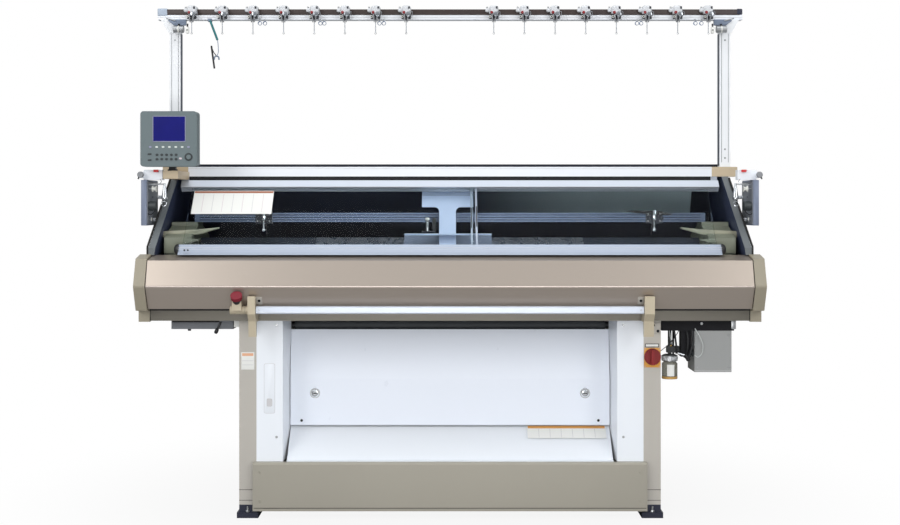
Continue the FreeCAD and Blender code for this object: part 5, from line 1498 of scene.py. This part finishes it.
bottle_r = (bottle_high.x - bottle_low.x) / 2
oil = Piece("oil_feed_detail")
oil.turned(
    (bottle_x, bottle_y, bottle_low.z - 0.0002), upward,
    [
        (0.0, bottle_r - 0.004), (0.001, bottle_r + 0.0003), (0.011, bottle_r + 0.0003),
        (0.0115, bottle_r - 0.004),
    ],
    oil_amber, 40,
)
label_turn = [math.radians(a) for a in range(-118, -61, 6)]
for near, far in zip(label_turn, label_turn[1:]):
    reach = bottle_r + 0.0006
    corners = [
        (bottle_x + reach * math.cos(a), bottle_y + reach * math.sin(a), bottle_low.z + z)
        for a, z in ((near, 0.014), (far, 0.014), (far, 0.064), (near, 0.064))
    ]
    oil.plate(corners, 0.0004, label_white, 0)
cap_z = bottle_high.z
ribs = 36
for i in range(ribs):
    turn = 2 * math.pi * i / ribs
    spot = (
        bottle_x + (bottle_r + 0.0005) * math.cos(turn), bottle_y + (bottle_r + 0.0005) * math.sin(turn),
    )
    oil.rod((*spot, cap_z + 0.004), (*spot, cap_z + 0.022), 0.0014, zinc, 6)
oil.turned(
    (bottle_x, bottle_y, cap_z - 0.001), upward,
    [
        (0.0, bottle_r - 0.001), (0.002, bottle_r + 0.001), (0.022, bottle_r + 0.001),
        (0.027, bottle_r - 0.004), (0.0275, 0.0),
    ],
    zinc, 40,
)
oil.turned(
    (bottle_x + 0.004, bottle_y, cap_z + 0.062), upward,
    [
        (0.0, 0.009), (0.006, 0.009), (0.007, 0.0065), (0.02, 0.006), (0.021, 0.0075), (0.028, 0.0075),
        (0.03, 0.004), (0.036, 0.003), (0.036, 0.0),
    ],
    brass, 6,
)
oil.rod(
    (bottle_x + 0.036, bottle_y, cap_z + 0.046), (bottle_x + 0.085, bottle_y + 0.004, cap_z + 0.05),
    0.0105, black_plastic, 24,
)
oil.turned(
    (bottle_x + 0.06, bottle_y - 0.004, cap_z + 0.046), (0.35, -0.5, -0.8),
    [
        (0.0, 0.012), (0.006, 0.014), (0.03, 0.014), (0.036, 0.01), (0.04, 0.01), (0.052, 0.009),
        (0.052, 0.0),
    ],
    black_plastic, 24,
)
oil.turned(
    (bottle_x + 0.088, bottle_y, cap_z + 0.052), (0.5, -0.3, -0.8),
    [(0.0, 0.009), (0.012, 0.011), (0.034, 0.01), (0.04, 0.006), (0.04, 0.0)], key_dark, 20,
)
oil.rod(
    (bottle_x + 0.03, bottle_y - 0.03, cap_z + 0.036), (bottle_x + 0.06, bottle_y - 0.033, cap_z + 0.028),
    0.006, chrome, 20,
)
oil.done()

black_lead = painted("lead_sheath", (24, 25, 28), 0.5, 0.0, peel=0.2)
pale_tube = painted("pale_tube", (202, 206, 204), 0.35, 0.0, peel=0.0)
leads = Piece("clipped_leads")
clip_y = bottle_y - 0.016
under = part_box("equipment_hanger")[1].z - 0.047
leads.wire(
    [
        (0.962, clip_y, under + 0.002), (0.966, clip_y - 0.004, 0.79), (0.971, clip_y, 0.765),
        (0.972, bottle_y, 0.748),
    ],
    0.0018, pale_tube, 8,
)
leads.wire(
    [
        (1.006, clip_y, under + 0.002), (0.99, clip_y - 0.008, 0.792), (0.955, clip_y - 0.03, 0.756),
        (0.9185, -0.268, 0.724),
    ],
    0.0016, black_lead, 8,
)
leads.wire(
    [
        (0.984, clip_y, under + 0.002), (0.99, clip_y - 0.004, 0.77), (0.9945, clip_y, 0.735),
        (0.994, clip_y + 0.004, 0.712),
    ],
    0.0042, black_lead, 12,
)
leads.wire(
    [
        (1.07, -0.272, under + 0.01), (1.09, -0.281, 0.79), (1.104, -0.279, 0.752), (1.1, -0.274, 0.716),
        (1.084, -0.272, 0.7), (1.068, -0.27, 0.708),
    ],
    0.0022, pale_tube, 8,
)
leads.wire(
    [(1.058, -0.268, under + 0.004), (1.062, -0.276, 0.77), (1.05, -0.276, 0.72), (1.042, -0.268, 0.69)],
    0.0052, black_lead, 12,
)
leads.wire(
    [(1.034, -0.26, under + 0.004), (1.04, -0.272, 0.78), (1.038, -0.268, 0.73), (1.036, -0.25, 0.704)],
    0.0046, black_lead, 12,
)
leads.done()

# ---- Under the bed, left: side tray ----------------------------------------------------------
# A shallow folded tray hangs under the left end for waste yarn. It has a dark slot along its
# front edge, a small catch knob, a black hand lever and a white limit switch beside it.
finish("side_tray", painted("tray_enamel", (108, 111, 116), 0.5, 0.1), 0.0015)
waste_low, waste_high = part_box("side_tray")
waste = Piece("side_tray_detail")
# The slot along the tray's front edge is a black strip: painted shade in it.
waste.block(
    (waste_low.x + 0.004, waste_low.y - 0.0006, waste_high.z - 0.01),
    (waste_high.x - 0.06, waste_low.y + 0.001, waste_high.z - 0.003), painted_hollow_shade, 0,
)
waste.rod(
    (waste_low.x + 0.075, waste_low.y + 0.02, waste_low.z - 0.009),
    (waste_low.x + 0.075, waste_low.y + 0.02, waste_low.z + 0.001), 0.0075, black_plastic, 20,
)
lever_top = Vector((waste_high.x - 0.053, waste_low.y - 0.006, waste_high.z - 0.008))
lever_end = lever_top + Vector((-0.016, -0.004, -0.036))
waste.rod(lever_top, lever_end, 0.0045, black_plastic, 16)
waste.turned(
    lever_end + Vector((0.003, 0.0008, 0.008)), (-0.016, -0.004, -0.036),
    [(0.0, 0.004), (0.004, 0.008), (0.018, 0.0085), (0.024, 0.0055), (0.025, 0.0)], black_plastic, 20,
)
waste.block(
    (waste_high.x + 0.002, waste_low.y + 0.004, waste_high.z - 0.032),
    (waste_high.x + 0.027, waste_low.y + 0.03, waste_high.z - 0.001), label_white, 0.0015,
)
waste.wire(
    [
        (waste_high.x + 0.002, waste_low.y + 0.012, waste_high.z - 0.026),
        (waste_high.x - 0.02, waste_low.y + 0.006, waste_high.z - 0.03),
        (lever_top.x + 0.006, lever_top.y + 0.01, lever_top.z - 0.012),
    ],
    0.0014, black_lead, 6,
)
waste.done()

# ---- Side tension units ----------------------------------------------------------------------
# A plate at each end carries the yarn's last guides before the carriers: a white head with a
# red thread slot, a grey setting knob, a ceramic spool, a chrome cone with a ring and a
# sprung take-up arm with a rubber roller. The parts are bought in and bolted on.
unit_grey = painted("unit_grey", (128, 132, 140), 0.42, 0.2)
unit_blue = painted("unit_blue", (122, 131, 152), 0.4, 0.1)
spool_white = painted("spool_white", (232, 232, 226), 0.22, 0.0, peel=0.0)
slot_red = painted("slot_red", (206, 48, 50), 0.4, 0.0, peel=0.0)
knob_grey = painted("knob_grey", (140, 142, 146), 0.45, 0.1)
finish("side_tension_plates", white_enamel, 0.002)
plate_low, plate_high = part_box("side_tension_plates")
front = plate_low.y
side_units = Piece("side_tension_detail")


def across_block(side, reach, depth, rise, material, edge):
    """A block given by its distances from the machine's middle, on the left or the right."""
    near, far = sorted((side * reach[0], side * reach[1]))
    side_units.block((near, depth[0], rise[0]), (far, depth[1], rise[1]), material, edge)


def hoop(middle, radius, count, turn=0.0):
    """Points round a circle of wire that faces the front."""
    angles = [turn + 2 * math.pi * i / count for i in range(count)]
    return [middle + Vector((radius * math.cos(a), 0.0, radius * math.sin(a))) for a in angles]


for side in (-1, 1):
    plate_face = side * 1.3285
    across_block(
        side, (1.3275, 1.3526), (front - 0.0008, plate_high.y + 0.0004), (1.2745, 1.4745), unit_blue,
        0.002,
    )
    across_block(
        side, (1.324, 1.327), (front + 0.004, plate_high.y - 0.01), (1.281, 1.468), unit_grey, 0.0008,
    )
    across_block(side, (1.278, 1.298), (front - 0.0006, front + 0.03), (1.5088, 1.5196), slot_red, 0.0006)
    side_units.turned(
        (side * 1.352, front - 0.006, 1.497), to_front,
        [(0.0, 0.0), (0.0, 0.0128), (0.0015, 0.0138), (0.009, 0.0138), (0.0115, 0.011), (0.0115, 0.0)],
        knob_grey, 32,
    )
    side_units.rod(
        (side * 1.352, front - 0.013, 1.497), (side * 1.362, front - 0.014, 1.478), 0.0035, black_plastic,
        14,
    )
    spool_at = (side * 1.288, front + 0.024, 1.436)
    side_units.rod(spool_at, (plate_face, spool_at[1], spool_at[2]), 0.0035, zinc, 12)
    side_units.turned(
        spool_at, (side, 0, 0),
        [
            (0.0, 0.0), (0.0, 0.0145), (0.0025, 0.0145), (0.0065, 0.0085), (0.0135, 0.0085),
            (0.0175, 0.0145), (0.02, 0.0145), (0.02, 0.0),
        ],
        spool_white, 32,
    )
    side_units.turned(
        (side * 1.322, front + 0.02, 1.36), (-side, 0, 0),
        [(0.0, 0.0), (0.0, 0.019), (0.006, 0.021), (0.032, 0.021), (0.036, 0.012), (0.036, 0.0)],
        key_dark, 32,
    )
    cone_top = Vector((side * 1.253, front + 0.016, 1.452))
    side_units.rod(
        (plate_face, front + 0.03, 1.456), (side * 1.253, front + 0.016, 1.456), 0.0032, zinc, 12,
    )
    side_units.turned(
        cone_top, (0, 0, -1),
        [
            (-0.008, 0.0), (-0.008, 0.0045), (0.0, 0.005), (0.052, 0.0125), (0.058, 0.0135),
            (0.064, 0.011), (0.064, 0.0),
        ],
        chrome, 32,
    )
    ring = hoop(cone_top + Vector((0.0, -0.012, -0.082)), 0.0105, 14, math.pi / 2)
    side_units.wire(ring, 0.0017, chrome, 8, 3, closed=True)
    side_units.wire(
        [
            cone_top + Vector((0, -0.012, -0.0715)), cone_top + Vector((0, -0.006, -0.066)),
            cone_top + Vector((0, 0, -0.062)),
        ],
        0.0015, chrome, 8,
    )
    guide = [
        (side * 1.27, front + 0.006, 1.478), (side * 1.262, front - 0.008, 1.464),
        (side * 1.286, front - 0.012, 1.448), (side * 1.31, front - 0.006, 1.454),
        (plate_face, front + 0.008, 1.458),
    ]
    side_units.wire(guide, 0.0014, chrome, 8, 6)
    side_units.wire(
        [
            (plate_face, front + 0.012, 1.33), (side * 1.31, front - 0.006, 1.322),
            (side * 1.29, front - 0.012, 1.336), (side * 1.296, front - 0.01, 1.35),
        ],
        0.0018, black_steel, 8, 6,
    )
    for z in (1.295, 1.4, 1.46):
        cap_screw(side_units, (side * 1.324, front + 0.1, z), (-side, 0, 0), 0.004)
side_units.done()

arm_y, pivot_z, roller_z, roller_span = -0.215, 1.361, 1.302, 0.0105
for word in ("left", "right"):
    node = word + "_side_arm"
    finish(node, unit_grey, 0.001)
    arm_low, arm_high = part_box(node)
    middle_x = (arm_low.x + arm_high.x) / 2
    arm = Piece(word + "_side_arm_parts")
    arm.turned(
        (arm_low.x - 0.0012, arm_y, pivot_z), to_right,
        [(0.0, 0.0), (0.0, 0.0175), (0.001, 0.0185), (0.002, 0.0185)], black_plastic, 36,
    )
    arm.turned(
        (middle_x - roller_span, arm_y, roller_z), to_right,
        [(0.0, 0.0145), (0.002, 0.0152), (roller_span * 2 - 0.002, 0.0152), (roller_span * 2, 0.0145)],
        roller_rubber, 36,
    )
    for x, out in ((arm_low.x, -1), (arm_high.x, 1)):
        arm.turned(
            (x, arm_y, roller_z), (out, 0, 0),
            [(0.0, 0.0085), (0.001, 0.0085), (0.0022, 0.006), (0.0022, 0.0)], spool_white, 28,
        )
        cap_screw(arm, (x + out * 0.0012, arm_y, pivot_z), (out, 0, 0), 0.005)
    arm.done(word + "_arm")

# ---- Yarn stand: posts and top bars ----------------------------------------------------------
# Two folded white posts stand on the rear casing and carry an aluminium channel with a dark
# brown bar on it. Each post has a rolled bead near both edges, painted shade on its inner side
# and a blue-grey gusset at its head. The bar's left end has a pale block, the right end a dark cap.
post_paint = painted("post_paint", (240, 242, 245), 0.38, 0.05)
post_side_shade = painted("post_side_shade", (72, 78, 92), 0.45, 0.1)
gusset_paint = painted("gusset_paint", (120, 132, 152), 0.4, 0.2)
bar_brown = painted("bar_brown", (58, 46, 44), 0.45, 0.1)
end_navy = painted("end_navy", (34, 38, 58), 0.4)
end_pale = painted("end_pale", (176, 188, 204), 0.4)
finish("stand_posts", post_paint, 0.003, 3)
finish("stand_bar", bright_rail, 0.0012)
stand_low, stand_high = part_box("stand_bar")
post_x, bead_out, post_top = 1.26, 0.0155, 2.15
post_trim = Piece("stand_post_trim")
for side in (-1, 1):
    for x in (post_x - bead_out, post_x + bead_out):
        post_trim.block(
            (side * x - 0.001, 0.0006, 1.56), (side * x + 0.001, 0.0026, post_top), knob_grey, 0.0004,
        )
    # A dark plate on the post's inner side: painted shade.
    inner_x = side * 1.2352
    reach = sorted((inner_x, inner_x - side * 0.0012))
    post_trim.block((reach[0], 0.0045, 1.545), (reach[1], 0.0445, post_top), post_side_shade, 0.0002)
    for z in (1.58, 1.62, 2.12):
        cap_screw(post_trim, (side * post_x, 0.002, z), to_front, 0.0045, zinc)
post_trim.done()

bars = Piece("stand_top_bars")
brown_low, brown_high = 2.2346, stand_high.z + 0.0006
bars.block(
    (stand_low.x + 0.012, stand_low.y - 0.0008, brown_low),
    (stand_high.x - 0.012, stand_high.y + 0.0008, brown_high), bar_brown, 0.0015,
)
bars.block(
    (stand_low.x - 0.0006, stand_low.y - 0.002, brown_low - 0.004),
    (stand_low.x + 0.045, stand_high.y + 0.002, brown_high + 0.004), end_pale, 0.004, 3,
)
bars.block(
    (stand_high.x - 0.026, stand_low.y - 0.002, brown_low + 0.002),
    (stand_high.x + 0.0006, stand_high.y + 0.002, brown_high + 0.003), end_navy, 0.005, 3,
)
# A grey line along the channel's face is painted shade in its groove.
groove_z = stand_low.z + 0.009
bars.block(
    (stand_low.x + 0.003, stand_low.y - 0.0004, groove_z),
    (stand_high.x - 0.003, stand_low.y + 0.001, groove_z + 0.0018), print_grey_and_groove_shade, 0,
)
bars.done()

pin_y, pin_z = -0.024, 2.166
brackets = Piece("stand_end_brackets")
for side in (-1, 1):
    near, far = side * 1.206, side * 1.268
    top, low = 2.2135, 2.186
    outline = [
        (near, -0.012, top), (far, -0.012, top), (side * 1.292, -0.012, top - 0.004),
        (side * 1.262, -0.012, low), (near, -0.012, low),
    ]
    if side > 0:
        outline.reverse()
    brackets.plate([Vector(p) for p in outline], 0.012, gusset_paint, 0.002)
    brackets.rod((side * 1.253, -0.02, 2.206), (side * 1.296, -0.024, 2.216), 0.003, zinc, 12)
    pin = side * 1.238
    brackets.turned(
        (pin - 0.024, pin_y, pin_z), to_right,
        [(0.0, 0.0), (0.0, 0.014), (0.002, 0.016), (0.046, 0.016), (0.048, 0.014), (0.048, 0.0)], zinc,
        36,
    )
    brackets.turned(
        (pin - 0.0245, pin_y, pin_z), to_right,
        [(0.022, 0.0163), (0.022, 0.0168), (0.027, 0.0168), (0.027, 0.0163)], spool_white, 36,
    )
    brackets.rod((pin, -0.024, 2.182), (pin, -0.018, 2.19), 0.0045, black_steel, 14)
    block_x = side * 1.198
    brackets.block(
        (block_x - 0.0065, -0.034, 2.148), (block_x + 0.0065, -0.014, 2.176), label_white, 0.0015,
    )
    brackets.rod((block_x, -0.024, 2.175), (block_x, -0.018, 2.192), 0.0035, black_steel, 12)
    cap_screw(brackets, (block_x, -0.034, 2.162), to_front, 0.0035)
brackets.done()

# ---- Yarn stand: the sixteen tension units ---------------------------------------------------
# Each unit clamps over the bar: a pearly moulded body with an ear for the clamp screw, a red
# knot lamp lens, a pair of steel tension discs on a stud, and a dark foot below with the
# ceramic eye. The take-up arm hinges on the foot and trips the stop motion.
pearl = painted("pearl_moulding", (216, 218, 222), 0.28, 0.0, tone_drift=0.04, peel=0.15)
lamp_red = painted("lamp_red", (140, 22, 30), 0.18, 0.0, peel=0.0)
disc_steel = painted("disc_steel", (168, 172, 178), 0.2, 0.9, peel=0.0)
foot_dark = painted("foot_moulding", (38, 40, 48), 0.42)
innermost_unit, unit_pitch, units_a_side = 0.2, 0.14, 8
unit_places = [side * (innermost_unit + unit_pitch * i) for side in (-1, 1) for i in range(units_a_side)]
units = Piece("tension_units")
for x in unit_places:
    units.block((x - 0.0215, -0.024, 2.2335), (x + 0.0215, 0.044, 2.277), pearl, 0.012, 4)
    units.turned(
        (x + 0.001, -0.02, 2.2535), to_front,
        [(0.0, 0.0), (0.0, 0.0185), (0.004, 0.0195), (0.006, 0.019), (0.0095, 0.0155), (0.0105, 0.0)],
        pearl, 40,
    )
    for side in (-1, 1):
        top = sorted((x + side * 0.0045, x + side * 0.0125))
        foot = sorted((x + side * 0.0045, x + side * 0.0075))
        front = [
            Vector((top[0], -0.034, 2.234)), Vector((foot[0], -0.03, 2.1975)),
            Vector((foot[1], -0.03, 2.1975)), Vector((top[1], -0.034, 2.234)),
        ]
        units.plate(front, 0.016, knob_grey, 0.0012)
    units.block((x - 0.0215, -0.019, 2.214), (x + 0.0215, -0.0155, 2.237), foot_dark, 0.0008)
    units.block((x - 0.0385, -0.014, 2.2475), (x - 0.017, 0.012, 2.2645), pearl, 0.006, 3)
    units.rod((x - 0.03, -0.004, 2.262), (x - 0.03, -0.004, 2.2725), 0.0042, zinc, 14)
    units.block((x + 0.009, -0.0312, 2.2595), (x + 0.0175, -0.0265, 2.2705), foot_dark, 0.001)
    units.turned(
        (x - 0.01, -0.0268, 2.2435), (-0.25, -1, -0.1),
        [(0.0, 0.007), (0.003, 0.0068), (0.0058, 0.0042), (0.0066, 0.0)], lamp_red, 24,
    )
    disc = Vector((x + 0.009, -0.0335, 2.2345))
    units.turned(
        disc, to_front,
        [
            (0.0, 0.0), (0.0, 0.0105), (0.0008, 0.0112), (0.0024, 0.008), (0.0032, 0.008),
            (0.0048, 0.0112), (0.0056, 0.0105), (0.0066, 0.006), (0.0066, 0.0),
        ],
        disc_steel, 32,
    )
    left_ring = hoop(Vector((x - 0.0175, -0.0325, 2.2235)), 0.0045, 12)
    units.wire(left_ring, 0.0012, spool_white, 8, 3, closed=True)
    units.wire(
        [(x - 0.0175, -0.0325, 2.228), (x - 0.017, -0.03, 2.2325), (x - 0.015, -0.024, 2.237)], 0.0011,
        black_steel, 6,
    )
    guard = [
        (x + 0.0185, -0.02, 2.25), (x + 0.0265, -0.028, 2.246), (x + 0.0285, -0.031, 2.237),
        (x + 0.0245, -0.034, 2.2285), (x + 0.0135, -0.033, 2.2255),
    ]
    units.wire(guard, 0.0011, disc_steel, 6, 6)
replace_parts(units.done(), "tension_bodies")

# Every take-up arm is a bent spring wire with an eye at its end, held in a small dark hub.
finish("tension_arms", disc_steel, 0)
hinge = Vector((0.0, -0.018, 2.218))
arms = Piece("take_up_wires")
for x in unit_places:
    arms.turned(
        (x - 0.0035, hinge.y, hinge.z), to_right,
        [(0.0, 0.0), (0.0, 0.0062), (0.007, 0.0062), (0.007, 0.0)], foot_dark, 24,
    )
    eye = hoop(Vector((x, hinge.y, 2.1485)), 0.0036, 10, math.pi / 2)
    arms.wire(eye, 0.001, disc_steel, 6, 3, closed=True)
arms.done("unit_arms")

# ---- Yarn stand: guide eyes and the threading tool -------------------------------------------
# Pigtail eyes of pale enamelled wire hang under the channel between some units. A teal rod
# with a steel wire and a forked clip hangs at the left for threading the high eyes.
pigtail_blue = painted("pigtail_blue", (104, 122, 152), 0.35, 0.3)
teal_paint = painted("teal_paint", (46, 118, 122), 0.35, 0.2)
channel_z = stand_low.z
eyes = Piece("pigtail_eyes")
for x in (-0.868, -0.845, -0.592, -0.574, -0.322, -0.302, 0.854, 0.873, 1.121, 1.148):
    eyes.rod((x, -0.008, channel_z + 0.0015), (x, -0.008, channel_z - 0.008), 0.0028, zinc, 14)
    loop = [Vector((x, -0.008, channel_z - 0.007))]
    for i in range(22):
        turn = math.pi / 2 + 2 * math.pi * i / 15
        loop.append(
            Vector(
                (
                    x + 0.0082 * math.cos(turn), -0.012 - 0.0006 * i,
                    channel_z - 0.0195 + 0.0082 * math.sin(turn),
                )
            )
        )
    eyes.wire(loop, 0.0014, pigtail_blue, 8, 3)
eyes.done()

tool = Piece("threading_tool")
tool_x, tool_y = -1.098, -0.018
tool.block(
    (tool_x - 0.009, -0.022, channel_z - 0.011), (tool_x + 0.009, 0.004, channel_z + 0.0012),
    gusset_paint, 0.0015,
)
tool.rod(
    (tool_x + 0.002, tool_y, channel_z - 0.006), (tool_x + 0.036, tool_y, channel_z - 0.096), 0.0052,
    teal_paint, 16, 0.001,
)
tool.wire(
    [
        (tool_x + 0.036, tool_y, channel_z - 0.094), (tool_x + 0.039, tool_y, channel_z - 0.12),
        (tool_x + 0.0395, tool_y, channel_z - 0.152), (tool_x + 0.032, tool_y, channel_z - 0.172),
    ],
    0.0016, pigtail_blue, 8,
)
for bend in (-1, 1):
    prong = [
        (tool_x + 0.032, tool_y, channel_z - 0.168),
        (tool_x + 0.032 + bend * 0.009, tool_y, channel_z - 0.174),
        (tool_x + 0.032 + bend * 0.011, tool_y, channel_z - 0.186),
    ]
    tool.wire(prong, 0.0034, gusset_paint, 8)
tool.wire(
    [
        (tool_x + 0.032, tool_y, channel_z - 0.17), (tool_x + 0.018, tool_y, channel_z - 0.15),
        (tool_x + 0.01, tool_y, channel_z - 0.13),
    ],
    0.002, black_steel, 8,
)
tool.rod(
    (tool_x + 0.008, tool_y, channel_z - 0.122), (tool_x + 0.022, tool_y, channel_z - 0.226), 0.0042,
    black_plastic, 14, 0.001,
)
tool.done()
